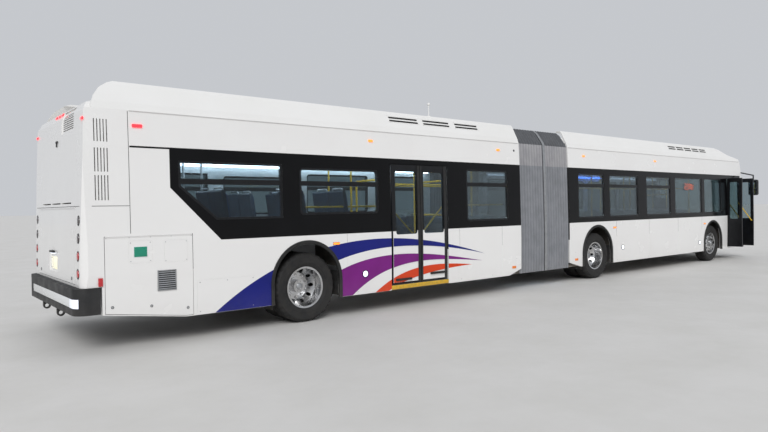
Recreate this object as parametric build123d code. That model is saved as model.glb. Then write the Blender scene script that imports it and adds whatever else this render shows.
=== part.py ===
from build123d import *
import math
import os

# Low-floor articulated city bus, 60 ft class, in millimetres.
# +X is forward, +Y is the driver's side, +Z is up, and the origin is on the ground
# under the middle of the bus.

# Overall form
front_overhang = 2180      # front bumper to front axle
front_wheelbase = 5785     # front axle to middle axle
rear_wheelbase = 7490      # middle axle to rear axle
rear_overhang = 3075       # rear axle to rear bumper
half_width = 1295
skirt_z = 310
waist_z = 1250             # bottom of the black window band
band_top_z = 2410
cornice_z = 2830           # crease where the wall meets the roof
roof_z = 2950
fairing_z = 3190
wall = 60
lean_at_band_top = 20      # how far the wall leans in at the top of the band
lean_at_cornice = 37
skirt_tuck = 10

total_length = front_overhang + front_wheelbase + rear_wheelbase + rear_overhang
front_x = total_length / 2
rear_x = -front_x
front_axle_x = front_x - front_overhang
middle_axle_x = front_axle_x - front_wheelbase
rear_axle_x = middle_axle_x - rear_wheelbase

# Articulation
pivot_behind_middle_axle = 1865
bellows_half = 800
hoop_half = 35
pivot_x = middle_axle_x - pivot_behind_middle_axle
front_body_end_x = pivot_x + bellows_half
rear_body_end_x = pivot_x - bellows_half
turntable_radius = 640
arm_pad_radius = 330

# End caps
front_cap_x = front_x - 305        # where the front cap starts
rear_cap_x = rear_x + 625
rear_cap_low_x = rear_x + 295      # below the rear corner seam the side panel runs further back
rear_seam_z = 1370
rear_face_x = rear_x + 75
departure_x = rear_x + 1285        # where the skirt starts to rise towards the rear bumper
departure_z = 440
bumper_low_z = 456
bumper_high_z = 763
bumper_depth = 75

# Floor
floor_z = 380
floor_thickness = 60
platform_z = 830           # raised floor over the rear axle
platform_x = rear_axle_x + 1190
step_x = rear_axle_x + 1430
bulkhead_x = rear_x + 1115

# Doors
# Rear and front jamb
front_door_x = (front_axle_x + 945, front_axle_x + 1825)
rear_door_x = (rear_axle_x + 1565, rear_axle_x + 2845)
door_low_z = 360
door_top_z = 2330
rear_door_low_z = 395
leaf_thickness = 40
leaf_gap = 6
jamb_gap = 30              # from the jamb to a leaf's hinge line
door_sill_z = 345

# Wheels
tyre_radius = 500
tyre_width = 290
rim_radius = 300           # over the flanges
rim_half = 118             # half width over the flanges
rim_wall = 12
bead_radius = 286
bead_half = rim_half - 30
front_track_half = half_width - 205
twin_outer_half = half_width - 200     # middle of the outer tyre
twin_spacing = 335
kingpin_half = front_track_half - 115
arch_radius = tyre_radius + 80
front_arch_radius = tyre_radius + 60

running_gap = 0.3


def slab(x0, x1, y0, y1, z0, z1):
    return Pos((x0 + x1) / 2, (y0 + y1) / 2, (z0 + z1) / 2) * Box(
        abs(x1 - x0), abs(y1 - y0), abs(z1 - z0)
    )


def outline(points):
    return make_face(Polyline(*points, close=True))


def prism_x(points_yz, x0, x1):
    return extrude(outline([(x0, y, z) for y, z in points_yz]), amount=x1 - x0, dir=(1, 0, 0))


def prism_y(points_xz, y0, y1):
    return extrude(outline([(x, y0, z) for x, z in points_xz]), amount=y1 - y0, dir=(0, 1, 0))


def rounded_y(x0, x1, z0, z1, radius, y0, y1):
    """A rounded rectangle seen from the side, as deep as y0 to y1."""
    face = Pos((x0 + x1) / 2, y0, (z0 + z1) / 2) * (
        Plane.XZ * RectangleRounded(x1 - x0, z1 - z0, radius)
    )
    return extrude(face, amount=y1 - y0, dir=(0, 1, 0))


def disc_x(y, z, radius, x0, x1):
    return Pos((x0 + x1) / 2, y, z) * Rot(0, 90, 0) * Cylinder(radius, abs(x1 - x0))


def disc_y(x, z, radius, y0, y1):
    return Pos(x, (y0 + y1) / 2, z) * Rot(90, 0, 0) * Cylinder(radius, abs(y1 - y0))


def disc_z(x, y, radius, z0, z1):
    return Pos(x, y, (z0 + z1) / 2) * Cylinder(radius, z1 - z0)


def rod(start, end, radius):
    """A round bar between two points."""
    a = Vector(*start)
    b = Vector(*end)
    along = b - a
    return Plane(origin=a, z_dir=along) * Pos(0, 0, along.length / 2) * Cylinder(
        radius, along.length
    )


def mirrored(shape):
    return mirror(shape, about=Plane.XZ)


def sided(side, near, far):
    """Two distances from the middle of the bus, as Y values in rising order."""
    return sorted((side * near, side * far))


def through_wall(side):
    """Y values that reach well past both faces of one side wall."""
    return sided(side, half_width - 3 * wall, half_width + wall)


def save(name, *shapes):
    solids = []
    for shape in shapes:
        solids.extend(shape.solids())
    body = solids[0] if len(solids) == 1 else Compound(children=solids)
    export_step(body, f"parts/{name}.step")


# Body section: the right half is mirrored, so y is positive here.
def section_points(inset=0.0):
    """Half outline of the wall from skirt to cornice, (y, z)."""
    return [
        (half_width - skirt_tuck - inset, skirt_z),
        (half_width - inset, waist_z - 350),
        (half_width - inset, waist_z),
        (half_width - lean_at_band_top - inset, band_top_z),
        (half_width - lean_at_cornice - inset, cornice_z),
    ]


def wall_sheet(x0, x1, near, far, side):
    """The curved side sheet between two depths below the outer face."""
    outer = section_points(near)
    inner = section_points(far)
    points = [(side * y, z) for y, z in outer + inner[::-1]]
    return prism_x(points, x0, x1)


def body_tube(x0, x1, inset=0.0, low=skirt_z, ledge=0.0):
    """The closed body section, as a solid bar. The ledge is where a fairing stands."""
    half = section_points(inset)
    half[0] = (half[0][0], low)
    shoulder = half[-1][0] - ledge
    if ledge and not inset:
        half.append((shoulder, cornice_z))
    crown = [
        (shoulder - 25, cornice_z + 65 - inset),
        (shoulder - 90, roof_z - 20 - inset),
        (0.5 * shoulder, roof_z - inset),
    ]
    right = half + crown
    points = right + [(-y, z) for y, z in right[::-1]]
    return prism_x(points, x0, x1)


# Wheel arches: half width, and height of the arch's centre
def arch(x, radius, y0, y1):
    straight = slab(x - radius, x + radius, y0, y1, skirt_z - 200, radius + 5)
    return straight + disc_y(x, radius + 5, radius, y0, y1)


def from_anchor(rows):
    """Rows that start with an anchor and two distances from it become rows of places."""
    return [(anchor + near, anchor + far, *rest) for anchor, near, far, *rest in rows]


# Side windows. Columns: anchor x, from, to, z from, z to, z of the bar's middle (0 for none)
front_windows = from_anchor([
    (middle_axle_x, -730, 290, 1340, 2300, 2040),
    (middle_axle_x, 490, 1755, 1340, 2300, 2040),
    (middle_axle_x, 2130, 3360, 1340, 2300, 2040),
    (front_axle_x, -2205, -655, 1340, 2300, 0),
    (front_axle_x, -525, 555, 1340, 2300, 0),
])
driver_windows = from_anchor([(front_axle_x, 815, 1745, 1250, 2300, 0)])
rear_windows = from_anchor([
    (rear_axle_x, -110, 1320, 1545, 2220, 1995),
    (rear_body_end_x, -1505, -365, 1366, 2290, 2020),
])
rear_left_windows = from_anchor([(rear_axle_x, 1590, 3060, 1545, 2290, 2020)])
# The rearmost window has a slanted lower rear corner. Columns: x from the rear axle, z
slant_window = [
    (rear_axle_x + x, z)
    for x, z in ((-1860, 2260), (-390, 2260), (-390, 1507), (-1370, 1507), (-1860, 1930))
]
slant_bar_z = 1998
window_radius = 60
frame_width = 32
bar_height = 70
glass_depth = (12, 18)     # below the outer face
frame_depth = (4, 40)


def window_cut(row, side, inset=0.0):
    x0, x1, z0, z1 = row[:4]
    radius = window_radius - inset * 0.8
    return rounded_y(
        x0 + inset, x1 - inset, z0 + inset, z1 - inset, radius, *through_wall(side)
    )


def slant_cut(side, inset=0.0):
    y0, y1 = through_wall(side)
    face = outline([(x, y0, z) for x, z in slant_window])
    if inset:
        face = offset(face, amount=-inset, kind=Kind.INTERSECTION)
    return extrude(face, amount=y1 - y0, dir=(0, 1, 0))


def window_bar(x0, x1, z, side):
    """The bar across a window, to be trimmed to the frame's depth."""
    y0, y1 = through_wall(side)
    return slab(x0 + 10, x1 - 10, y0, y1, z - bar_height / 2, z + bar_height / 2)


def windows_of(rows, side, with_slant, x0, x1):
    """Panes and frames that fit the cuts of one side."""
    pane_sheet = wall_sheet(x0, x1, *glass_depth, side)
    frame_sheet = wall_sheet(x0, x1, *frame_depth, side)
    panes = []
    frames = []
    for row in rows:
        opening = window_cut(row, side, running_gap)
        hole = window_cut(row, side, frame_width)
        ring = opening - hole
        if row[4]:
            ring = ring + window_bar(row[0], row[1], row[4], side)
        frames.append(ring & frame_sheet)
        panes.append((window_cut(row, side, frame_width + running_gap) - ring) & pane_sheet)
    if with_slant:
        ring = slant_cut(side, running_gap) - slant_cut(side, frame_width)
        ring = ring + window_bar(slant_window[0][0], slant_window[1][0], slant_bar_z, side)
        frames.append(ring & frame_sheet)
        panes.append((slant_cut(side, frame_width + running_gap) - ring) & pane_sheet)
    return panes, frames


# Seams between the side panels, as shallow grooves
seam_width = 6
seam_depth = 3
hatch_corner = 24
front_seams_x = [middle_axle_x + 760, middle_axle_x + 2240, front_axle_x - 2060, front_axle_x - 700]
rear_seams_x = [rear_axle_x + 700, rear_body_end_x - 1700, rear_body_end_x - 560]


def seams(places, side):
    """Upright grooves from the skirt to the waist."""
    layer = wall_sheet(min(places) - seam_width, max(places) + seam_width, -2, seam_depth, side)
    cuts = [
        slab(x - seam_width / 2, x + seam_width / 2, -2000, 2000, skirt_z - 5, waist_z)
        for x in places
    ]
    return [cut & layer for cut in cuts]


def flush_ring(x0, x1, z0, z1, side):
    """The groove round a panel or hatch that lies flush in the wall."""
    outer = rounded_y(x0, x1, z0, z1, hatch_corner, *through_wall(side))
    inner = rounded_y(
        x0 + seam_width, x1 - seam_width, z0 + seam_width, z1 - seam_width,
        hatch_corner - seam_width, *through_wall(side),
    )
    return (outer - inner) & wall_sheet(x0 - 1, x1 + 1, -2, seam_depth, side)


# Flush panel between the rear wheel and the service door, its top edge and its ends
skirt_panel = (rear_axle_x - 1650, rear_axle_x - 830, skirt_z - 60, 750)


# Side walls
def front_wall(side):
    edge = [
        (front_body_end_x, cornice_z),
        (front_body_end_x, skirt_z + 110),
        (front_body_end_x + 428, skirt_z),
        (front_cap_x, skirt_z),
        (front_cap_x, cornice_z),
    ]
    plate = wall_sheet(front_body_end_x, front_cap_x, 0, wall, side)
    y0, y1 = through_wall(side)
    plate = plate & prism_y(edge, y0, y1)
    for x, radius in ((front_axle_x, front_arch_radius), (middle_axle_x, arch_radius)):
        plate = plate - arch(x, radius, y0, y1)
    rows = front_windows + (driver_windows if side > 0 else [])
    for row in rows:
        plate = plate - window_cut(row, side)
    if side < 0:
        plate = plate - slab(*front_door_x, y0, y1, door_sill_z, door_top_z)
    return plate - seams(front_seams_x, side)


def rear_wall(side):
    edge = [
        (rear_cap_x, cornice_z),
        (rear_body_end_x, cornice_z),
        (rear_body_end_x, skirt_z + 106),
        (rear_body_end_x - 343, skirt_z),
        (departure_x, skirt_z),
        (rear_cap_low_x, departure_z),
        (rear_cap_low_x, rear_seam_z),
        (rear_cap_x, rear_seam_z),
    ]
    plate = wall_sheet(rear_cap_low_x, rear_body_end_x, 0, wall, side)
    y0, y1 = through_wall(side)
    plate = plate & prism_y(edge, y0, y1)
    plate = plate - arch(rear_axle_x, arch_radius, y0, y1)
    rows = rear_windows + (rear_left_windows if side > 0 else [])
    for row in rows:
        plate = plate - window_cut(row, side)
    plate = plate - slant_cut(side)
    plate = plate - service_opening(side)
    plate = plate - seams(rear_seams_x, side) - flush_ring(*skirt_panel, side)
    if side < 0:
        plate = plate - slab(*rear_door_x, y0, y1, skirt_z - 10, door_top_z)
    return plate


# Service doors, low on each rear corner
service_x = (rear_x + 325, rear_x + 1380)
service_z = (skirt_z + 10, 1345)
lid_gap = 6
# Lids hang from hinge barrels just outside the skin, in the seam over each lid
hinge_barrel_radius = 5
service_hinge = (half_width + 5, service_z[1] - lid_gap / 2)       # y, z
# Two flush hatches and a slatted grille in each door. Columns: x from, x to, z from, z to
service_hatches = from_anchor([(rear_x, 595, 875, 1015, 1285), (rear_x, 1015, 1315, 1005, 1275)])
service_grille = (rear_x + 935, rear_x + 1155, 668, 906)
slat_pitch = 26
slat_gap = 14


def slots(x0, x1, z0, z1, pitch, gap):
    """Level slots through a side panel, one over the other."""
    count = int((z1 - z0) / pitch)
    return [
        slab(x0, x1, -2000, 2000, z0 + i * pitch, z0 + i * pitch + gap) for i in range(count)
    ]


def service_opening(side, inset=0.0):
    x0, x1 = service_x
    z0, z1 = service_z
    rise = (departure_z - skirt_z) / (departure_x - rear_cap_low_x)
    lift = (departure_x - x0) * rise
    shape = [
        (x0 + inset, z1 - inset),
        (x1 - inset, z1 - inset),
        (x1 - inset, z0 + inset),
        (departure_x, z0 + inset),
        (x0 + inset, z0 + lift + inset),
    ]
    y0, y1 = through_wall(side)
    return prism_y(shape, y0, y1)


def service_door(side):
    x0, x1 = service_x
    sheet = wall_sheet(x0, x1, 0, 35, side)
    door = service_opening(side, lid_gap) & sheet
    strip = wall_sheet(x0, x1, 3, 13, side)
    for x in (x0 + 150, x1 - 150):
        door = door + (
            strip & slab(x - 60, x + 60, -2000, 2000, service_z[1] - 20, service_z[1] - running_gap)
        )
    hinge_y, hinge_z = service_hinge
    ends = (x0 + 2 * lid_gap, x1 - 2 * lid_gap)
    door = door + slab(*ends, *sided(side, hinge_y - 12, hinge_y - 1), hinge_z - 15, hinge_z - 3)
    door = door + rod(
        (ends[0], side * hinge_y, hinge_z), (ends[1], side * hinge_y, hinge_z), hinge_barrel_radius
    )
    for hatch in service_hatches:
        door = door - flush_ring(*hatch, side)
    return door - slots(*service_grille, slat_pitch, slat_gap)


# Roofs
def roof(x0, x1):
    bar = body_tube(x0, x1, ledge=fairing_ledge)
    hollow = body_tube(x0 - 1, x1 + 1, wall)
    upper = slab(x0 - 1, x1 + 1, -2000, 2000, cornice_z, 4000)
    return (bar - hollow) & upper


cove_wall = 15
cove_low_z = 2405
cove_half = (890, half_width - 105)    # inner edge by the aisle, and outer edge by the wall


def ceiling_coves(x0, x1):
    """Closed ducts along both upper corners of the saloon, hung from the roof."""
    inner, outer = cove_half
    crease = half_width - lean_at_cornice - wall
    points = [
        (outer, cove_low_z + 15),
        (outer - 40, cove_low_z),
        (inner, cove_low_z + 335),
        (inner, roof_z - wall - 5),
        (crease - 90, cornice_z + 46),
        (crease - 25, cornice_z + 10),
        (outer, cornice_z + 2),
    ]
    face = outline([(x0, -y, z) for y, z in points])
    ring = face - offset(face, amount=-cove_wall, kind=Kind.INTERSECTION)
    right = extrude(ring, amount=x1 - x0, dir=(1, 0, 0))
    return [right, mirrored(right)]


# Roof fairings stand on the cornice and hide the roof equipment
fairing_wall = 25
fairing_ledge = fairing_wall + 3
fairing_lean = 148
fairing_lip = 110


def fairing(x0, x1, side, edge):
    """edge is the fairing's outline seen from the side, (x, z)."""
    foot = half_width - lean_at_cornice
    top = foot - fairing_lean
    points = [
        (foot, cornice_z),
        (foot - 30, cornice_z + 90),
        (top, fairing_z - 40),
        (top - 30, fairing_z),
        (top - 30 - fairing_lip, fairing_z),
        (top - 30 - fairing_lip, fairing_z - fairing_wall),
        (top - 40, fairing_z - fairing_wall),
        (top - fairing_wall, fairing_z - 55),
        (foot - 30 - fairing_wall, cornice_z + 96),
        (foot - fairing_wall, cornice_z),
    ]
    shape = prism_x([(side * y, z) for y, z in points], x0, x1)
    return shape & prism_y(edge, -2000, 2000)


# Vents in the fairings: groups of two long slots. Columns: x from, x to
rear_vents = from_anchor([
    (rear_axle_x, 1660, 2290), (rear_axle_x, 2410, 3035), (rear_axle_x, 3180, 3765)
])
front_vents = from_anchor([(front_axle_x, -2270 + 440 * i, -1890 + 440 * i) for i in range(5)])
vent_z = (3020, 3072)      # lower edges of the two slots
vent_height = 30


def vent_cuts(groups):
    cuts = []
    for x0, x1 in groups:
        for z in vent_z:
            face = Pos((x0 + x1) / 2, -2000, z + vent_height / 2) * (
                Plane.XZ * SlotOverall(x1 - x0, vent_height)
            )
            cuts.append(extrude(face, amount=4000, dir=(0, 1, 0)))
    return cuts


front_fairing_edge = [
    (front_body_end_x, cornice_z),
    (front_cap_x - 5, cornice_z),
    (front_cap_x - 5, cornice_z + 70),
    (front_cap_x - 650, cornice_z + 180),
    (front_cap_x - 1050, fairing_z - 50),
    (front_cap_x - 1350, fairing_z + 10),
    (front_body_end_x, fairing_z + 10),
]
rear_fairing_edge = [
    (rear_face_x + 150, cornice_z),
    (rear_body_end_x, cornice_z),
    (rear_body_end_x, fairing_z + 10),
    (rear_face_x + 470, fairing_z + 10),
    (rear_face_x + 370, fairing_z - 25),
    (rear_face_x + 270, fairing_z - 95),
    (rear_face_x + 190, fairing_z - 210),
    (rear_face_x + 150, cornice_z + 40),
]


def roof_end_plate(x0, x1):
    """Closes the roof's end above the deck, where the bellows' top meets it."""
    half_low = half_width - lean_at_cornice - 200
    half_top = half_low - 70
    return prism_x(
        [(-half_low, roof_z - 12), (-half_top, bellows_top_z), (half_top, bellows_top_z),
         (half_low, roof_z - 12)],
        x0,
        x1,
    )


# Front cap: plan outline, side outline and body section, one inside the other
front_corner_depth = 250
front_corner_width = 300
front_bow = 60
front_nose_x = front_x - 35
front_cap_low_z = 695
bulge = 0.293              # how far a quarter round's middle lies from its corner


def front_plan(inset, base_x):
    half = half_width + 5 - inset
    tip = front_nose_x - inset
    start_x = front_nose_x - front_corner_depth
    end_x = tip - front_bow
    end_y = half - front_corner_width + inset
    mid_x = end_x - bulge * (end_x - start_x)
    mid_y = half - bulge * (half - end_y)
    edges = [
        Line((base_x, -half), (start_x, -half)),
        ThreePointArc((start_x, -half), (mid_x, -mid_y), (end_x, -end_y)),
        ThreePointArc((end_x, -end_y), (tip, 0), (end_x, end_y)),
        ThreePointArc((end_x, end_y), (mid_x, mid_y), (start_x, half)),
        Line((start_x, half), (base_x, half)),
        Line((base_x, half), (base_x, -half)),
    ]
    return make_face(edges)


def front_form(inset):
    base = front_cap_x - (10 if inset else 0)
    low = front_cap_low_z - (50 if inset else 0)
    plan = extrude(Pos(0, 0, low - 50) * front_plan(inset, base), amount=3000, dir=(0, 0, 1))
    nose = front_nose_x - inset
    edge = [
        (base, low),
        (nose, low),
        (nose, 1150),
        (nose - 150, 2450),
        (nose - 215, 2700 - 0.5 * inset),
        (nose - 250, roof_z - 80 - inset),
        (base, roof_z - 5 - inset),
    ]
    side_form = prism_y(edge, -2000, 2000)
    return plan & side_form & body_tube(base, front_nose_x, inset, low)


windshield_z = (1120, 2380)
windshield_half = half_width - 105
sign_z = (2470, 2700)
sign_half = 820
# Round lamp pockets low on the front. Columns: y, z, radius
front_lamp_rows = [(1010, 850, 88), (800, 850, 72), (1130, 1010, 45)]
lamp_pocket_depth = 28


def front_shell():
    shell = front_form(0) - front_form(wall)
    shell = shell - slab(
        front_cap_x + 60, front_x + 10, -windshield_half, windshield_half, *windshield_z
    )
    shell = shell - slab(front_cap_x + 120, front_x + 10, -sign_half, sign_half, *sign_z)
    floor_of_pocket = front_form(lamp_pocket_depth)
    for y, z, radius in front_lamp_rows:
        for side in (-1, 1):
            pocket = disc_x(side * y, z, radius, front_cap_x + 60, front_x + 10)
            shell = shell - (pocket - floor_of_pocket)
    return shell


def windshield_panes():
    layer = front_form(14) - front_form(22)
    gap = 0.5
    opening = slab(
        front_cap_x + 60 + gap,
        front_x,
        -windshield_half + gap,
        windshield_half - gap,
        windshield_z[0] + gap,
        windshield_z[1] - gap,
    )
    sheet = layer & opening
    post = slab(front_cap_x, front_x, -3, 3, 0, 3000)
    halves = sheet - post
    sign = layer & slab(
        front_cap_x + 120 + gap,
        front_x,
        -sign_half + gap,
        sign_half - gap,
        sign_z[0] + gap,
        sign_z[1] - gap,
    )
    return halves.solids() + sign.solids()


# Rear cap
rear_corner = 110
rear_cap_low_z = bumper_high_z + 3


def rear_form(inset):
    base = rear_cap_x + (10 if inset else 0)
    half = half_width + 5 - inset
    back = rear_face_x + inset
    corner = rear_corner - 0.8 * inset
    plan_edges = [
        Line((base, -half), (back + corner, -half)),
        ThreePointArc(
            (back + corner, -half),
            (back + bulge * corner, -half + bulge * corner),
            (back, -half + corner),
        ),
        Line((back, -half + corner), (back, half - corner)),
        ThreePointArc(
            (back, half - corner),
            (back + bulge * corner, half - bulge * corner),
            (back + corner, half),
        ),
        Line((back + corner, half), (base, half)),
        Line((base, half), (base, -half)),
    ]
    plan = extrude(Pos(0, 0, 100) * make_face(plan_edges), amount=4000, dir=(0, 0, 1))
    low = rear_cap_low_z - (60 if inset else 0)
    edge = [
        (base, low),
        (back, low),
        (back, 1000),
        (back + 30, 1900),
        (back + 65, 2800 - inset),
        (back + 115, 2900 - inset),
        (back + 240, roof_z - inset),
        (base, roof_z - inset),
    ]
    tube = body_tube(rear_face_x, base, inset, low, fairing_ledge)
    return plan & prism_y(edge, -2000, 2000) & tube


engine_door_y = half_width - 275
engine_door_z = (790, 1690)
engine_hinge = (rear_face_x + 17, engine_door_z[1] - lid_gap / 2)      # x, z
plate_recess = (-115, 320, 880, 1110)      # y from, y to, z from, z to
# Tail lamps in a column on each side of the engine door
tail_lamp_y = half_width - 145
tail_lamp_z = (923, 1127, 1331, 1535)
tail_lamp_radius = 62
tail_pocket_depth = 22
# Upright louvres on each rear corner, in columns and tiers
louvre_x = [rear_x + 248 + 34.5 * i for i in range(5)]
louvre_tiers = [(1766, 2055), (2096, 2371), (2444, 2705)]
louvre_width = 13
# Slatted hatch high on the rear face, seen from behind on the right. Columns: y, z
rear_hatch = (-840, -232, 2612, 2885)
# Dashes over the engine door, y from and to
dash_slots = [(-800, -300), (-250, 250), (300, 800)]
dash_z = (1734, 1750)


def engine_door_opening(inset=0.0):
    return slab(
        rear_face_x - 50,
        rear_face_x + 110,
        -engine_door_y + inset,
        engine_door_y - inset,
        engine_door_z[0] + inset,
        engine_door_z[1] - inset,
    )


def rear_shell():
    shell = rear_form(0) - rear_form(wall)
    side_zone = slab(rear_cap_low_x, rear_cap_x + 50, -2000, 2000, 0, rear_seam_z)
    shell = shell - side_zone - engine_door_opening()
    front_of_cap = rear_face_x + 200
    floor_of_pocket = rear_form(tail_pocket_depth)
    for z in tail_lamp_z:
        for side in (-1, 1):
            pocket = disc_x(side * tail_lamp_y, z, tail_lamp_radius, rear_x, front_of_cap)
            shell = shell - (pocket - floor_of_pocket)
    for x in louvre_x:
        for z0, z1 in louvre_tiers:
            shell = shell - slab(x - louvre_width / 2, x + louvre_width / 2, -2000, 2000, z0, z1)
    y0, y1, z0, z1 = rear_hatch
    shell = shell - (slab(rear_x, front_of_cap, y0, y1, z0, z1) - rear_form(12))
    slat_count = int((z1 - z0 - 40) / slat_pitch)
    for i in range(slat_count):
        z = z0 + 26 + i * slat_pitch
        shell = shell - slab(rear_x, front_of_cap, y0 + 30, y1 - 30, z, z + slat_gap)
    for y0, y1 in dash_slots:
        shell = shell - slab(rear_x, front_of_cap, y0, y1, *dash_z)
    return shell


def engine_door():
    door = (rear_form(0) - rear_form(35)) & engine_door_opening(lid_gap)
    strip = rear_form(3) - rear_form(13)
    for y in (-700, 700):
        top = engine_door_z[1]
        door = door + (
            strip & slab(rear_face_x, rear_face_x + 110, y - 80, y + 80, top - 20, top - running_gap)
        )
    hinge_x, hinge_z = engine_hinge
    end_y = engine_door_y - 3 * lid_gap
    door = door + slab(hinge_x + 1, hinge_x + 14, -end_y, end_y, hinge_z - 15, hinge_z - 3)
    door = door + rod((hinge_x, -end_y, hinge_z), (hinge_x, end_y, hinge_z), hinge_barrel_radius)
    y0, y1, z0, z1 = plate_recess
    return door - (slab(rear_x, rear_face_x + 50, y0, y1, z0, z1) - rear_form(14))


# Bumpers wrap the corners
def bumper(nose_x, start_x, direction, low_z, high_z):
    half = half_width + 8
    corner = 150
    tip = nose_x

    def band(inset):
        t = inset
        half_in = half - t
        end = tip - direction * t
        back = start_x if not inset else start_x - direction * 10
        edges = [
            Line((back, -half_in), (end - direction * corner, -half_in)),
            ThreePointArc(
                (end - direction * corner, -half_in),
                (end - direction * bulge * corner, -half_in + bulge * corner),
                (end, -half_in + corner),
            ),
            Line((end, -half_in + corner), (end, half_in - corner)),
            ThreePointArc(
                (end, half_in - corner),
                (end - direction * bulge * corner, half_in - bulge * corner),
                (end - direction * corner, half_in),
            ),
            Line((end - direction * corner, half_in), (back, half_in)),
            Line((back, half_in), (back, -half_in)),
        ]
        return extrude(
            Pos(0, 0, low_z) * make_face(edges),
            amount=high_z - low_z,
            dir=(0, 0, 1),
        )

    return band(0) - band(bumper_depth)


# Tow lugs under the bumpers, and bolt holes for a bicycle rack on the front one
tow_hole_radius = 25
tow_lug_y = 400
tow_lug_half = 20
tow_lug_drop = 55          # from the bumper's lower edge to the hole
rack_bolt_radius = 6.5
rack_bolt_half_width = 300
rack_bolt_half_height = 75


def tow_lugs(x, low_z):
    shape = None
    for y in (-tow_lug_y, tow_lug_y):
        lug = slab(x - 45, x + 45, y - tow_lug_half, y + tow_lug_half, low_z - tow_lug_drop, low_z + 20)
        lug = lug + disc_y(x, low_z - tow_lug_drop, 45, y - tow_lug_half, y + tow_lug_half)
        lug = lug - disc_y(
            x, low_z - tow_lug_drop, tow_hole_radius, y - tow_lug_half - 1, y + tow_lug_half + 1
        )
        shape = lug if shape is None else shape + lug
    return shape


def rack_holes(x, middle_z):
    holes = None
    for y in (-rack_bolt_half_width, rack_bolt_half_width):
        for z in (middle_z - rack_bolt_half_height, middle_z + rack_bolt_half_height):
            hole = Pos(x, y, z) * Rot(0, 90, 0) * Cylinder(rack_bolt_radius, 200)
            holes = hole if holes is None else holes + hole
    return holes


# Floors with wheelhouses
floor_half = half_width - skirt_tuck - wall - running_gap
wheelhouse_wall = 20
wheelhouse_inner = twin_outer_half - twin_spacing - tyre_width / 2 - 75
wheelhouse_top_z = 1150
# Columns: axle x, half length, inner wall's distance from the middle, top
wheelhouse_rows = [
    (front_axle_x, 640, wheelhouse_inner, wheelhouse_top_z),
    (middle_axle_x, 620, wheelhouse_inner, wheelhouse_top_z),
    (rear_axle_x, 620, wheelhouse_inner, wheelhouse_top_z),
]


def wheelhouse(row, side):
    x, half_length, inner, top = row
    y0, y1 = sided(side, inner, floor_half)
    base = floor_z - floor_thickness
    outer = slab(x - half_length, x + half_length, y0, y1, base, top)
    w = wheelhouse_wall
    y2, y3 = sided(side, inner + w, half_width + 10)
    hollow = slab(x - half_length + w, x + half_length - w, y2, y3, base - 1, top - w)
    return outer, hollow


ramp_x = (front_door_x[0] + 70, front_door_x[1] - 70)
ramp_hinge_y = 70 - half_width
ramp_top_z = floor_z - 1
ramp_hinge_z = floor_z - 2
ramp_barrel_radius = 6
ramp_length = 880
ramp_thickness = 30
ramp_gap = 6


def front_floor():
    half = floor_half
    plate = slab(front_body_end_x, front_cap_x - 5, -half, half, floor_z - floor_thickness, floor_z)
    for row in wheelhouse_rows[:2]:
        for side in (-1, 1):
            outer, hollow = wheelhouse(row, side)
            plate = (plate + outer) - hollow
    pocket = slab(
        ramp_x[0] - ramp_gap,
        ramp_x[1] + ramp_gap,
        -half_width - 10,
        ramp_hinge_y + ramp_length + ramp_gap,
        ramp_top_z - ramp_thickness - running_gap,
        floor_z + 5,
    )
    plate = plate - pocket
    return plate + joint_floor(1)


def joint_floor(direction):
    """The floor tongue that reaches into the bellows up to the turntable."""
    end = pivot_x + direction * bellows_half
    x0, x1 = sorted((pivot_x + direction * 300, end + direction * 5))
    tongue = slab(x0, x1, -560, 560, floor_z - 35, floor_z)
    return tongue - disc_z(pivot_x, 0, turntable_radius + 8, floor_z - 60, floor_z + 10)


rail_y = (300, 400)
rail_z = (500, 560)


def rear_floor():
    half = floor_half
    low = floor_z - floor_thickness
    plate = slab(step_x, rear_body_end_x, -half, half, low, floor_z)
    step_z = (floor_z + platform_z) / 2
    plate = plate + slab(platform_x, step_x, -half, half, step_z - floor_thickness, step_z)
    plate = plate + slab(step_x - 20, step_x, -half, half, low, step_z)
    plate = plate + slab(platform_x - 20, platform_x, -half, half, step_z - 60, platform_z)
    plate = plate + slab(
        bulkhead_x, platform_x, -half, half, platform_z - floor_thickness, platform_z
    )
    plate = plate + slab(bulkhead_x, bulkhead_x + 40, -half + 30, half - 30, rail_z[0], cornice_z - 10)
    for side in (-1, 1):
        y0, y1 = sided(side, *rail_y)
        plate = plate + slab(rear_x + bumper_depth + running_gap, bulkhead_x + 1, y0, y1, *rail_z)
    for side in (-1, 1):
        outer, hollow = wheelhouse(wheelhouse_rows[2], side)
        zone = slab(-20000, 20000, -2000, 2000, platform_z - floor_thickness, 5000)
        plate = (plate + (outer & zone)) - hollow
    y0 = -half_width + 8
    sill = slab(rear_door_x[0] + 3, rear_door_x[1] - 3, y0, -half + 1, low, rear_door_low_z - 8)
    return plate + sill + joint_floor(-1)


# Articulation: two arms, one over the other, and a floor disc that turns by half
arm_half = 300
arm_height = 34
arm_reach = 360            # how far an arm runs under its body's floor
arm_clearance = 6
front_arm_z = (floor_z - 160, floor_z - 160 + arm_height)
rear_arm_z = (front_arm_z[1] + arm_clearance, front_arm_z[1] + arm_clearance + arm_height)
disc_floor_z = (rear_arm_z[1] + arm_clearance, floor_z)
pin_radius = 90


def joint_arm(direction, z0, z1):
    end = pivot_x + direction * (bellows_half + arm_reach)
    arm = slab(*sorted((pivot_x, end)), -arm_half, arm_half, z0, z1)
    arm = arm + disc_z(pivot_x, 0, arm_pad_radius, z0, z1)
    block = slab(
        *sorted((end - direction * 200, end)),
        -arm_half,
        arm_half,
        z1,
        floor_z - floor_thickness + 1,
    )
    return arm + block


def front_arm():
    return joint_arm(1, *front_arm_z) + disc_z(pivot_x, 0, pin_radius, front_arm_z[0], disc_floor_z[0])


def rear_arm():
    return joint_arm(-1, *rear_arm_z) - disc_z(pivot_x, 0, pin_radius + 5, 0, 1000)


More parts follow.
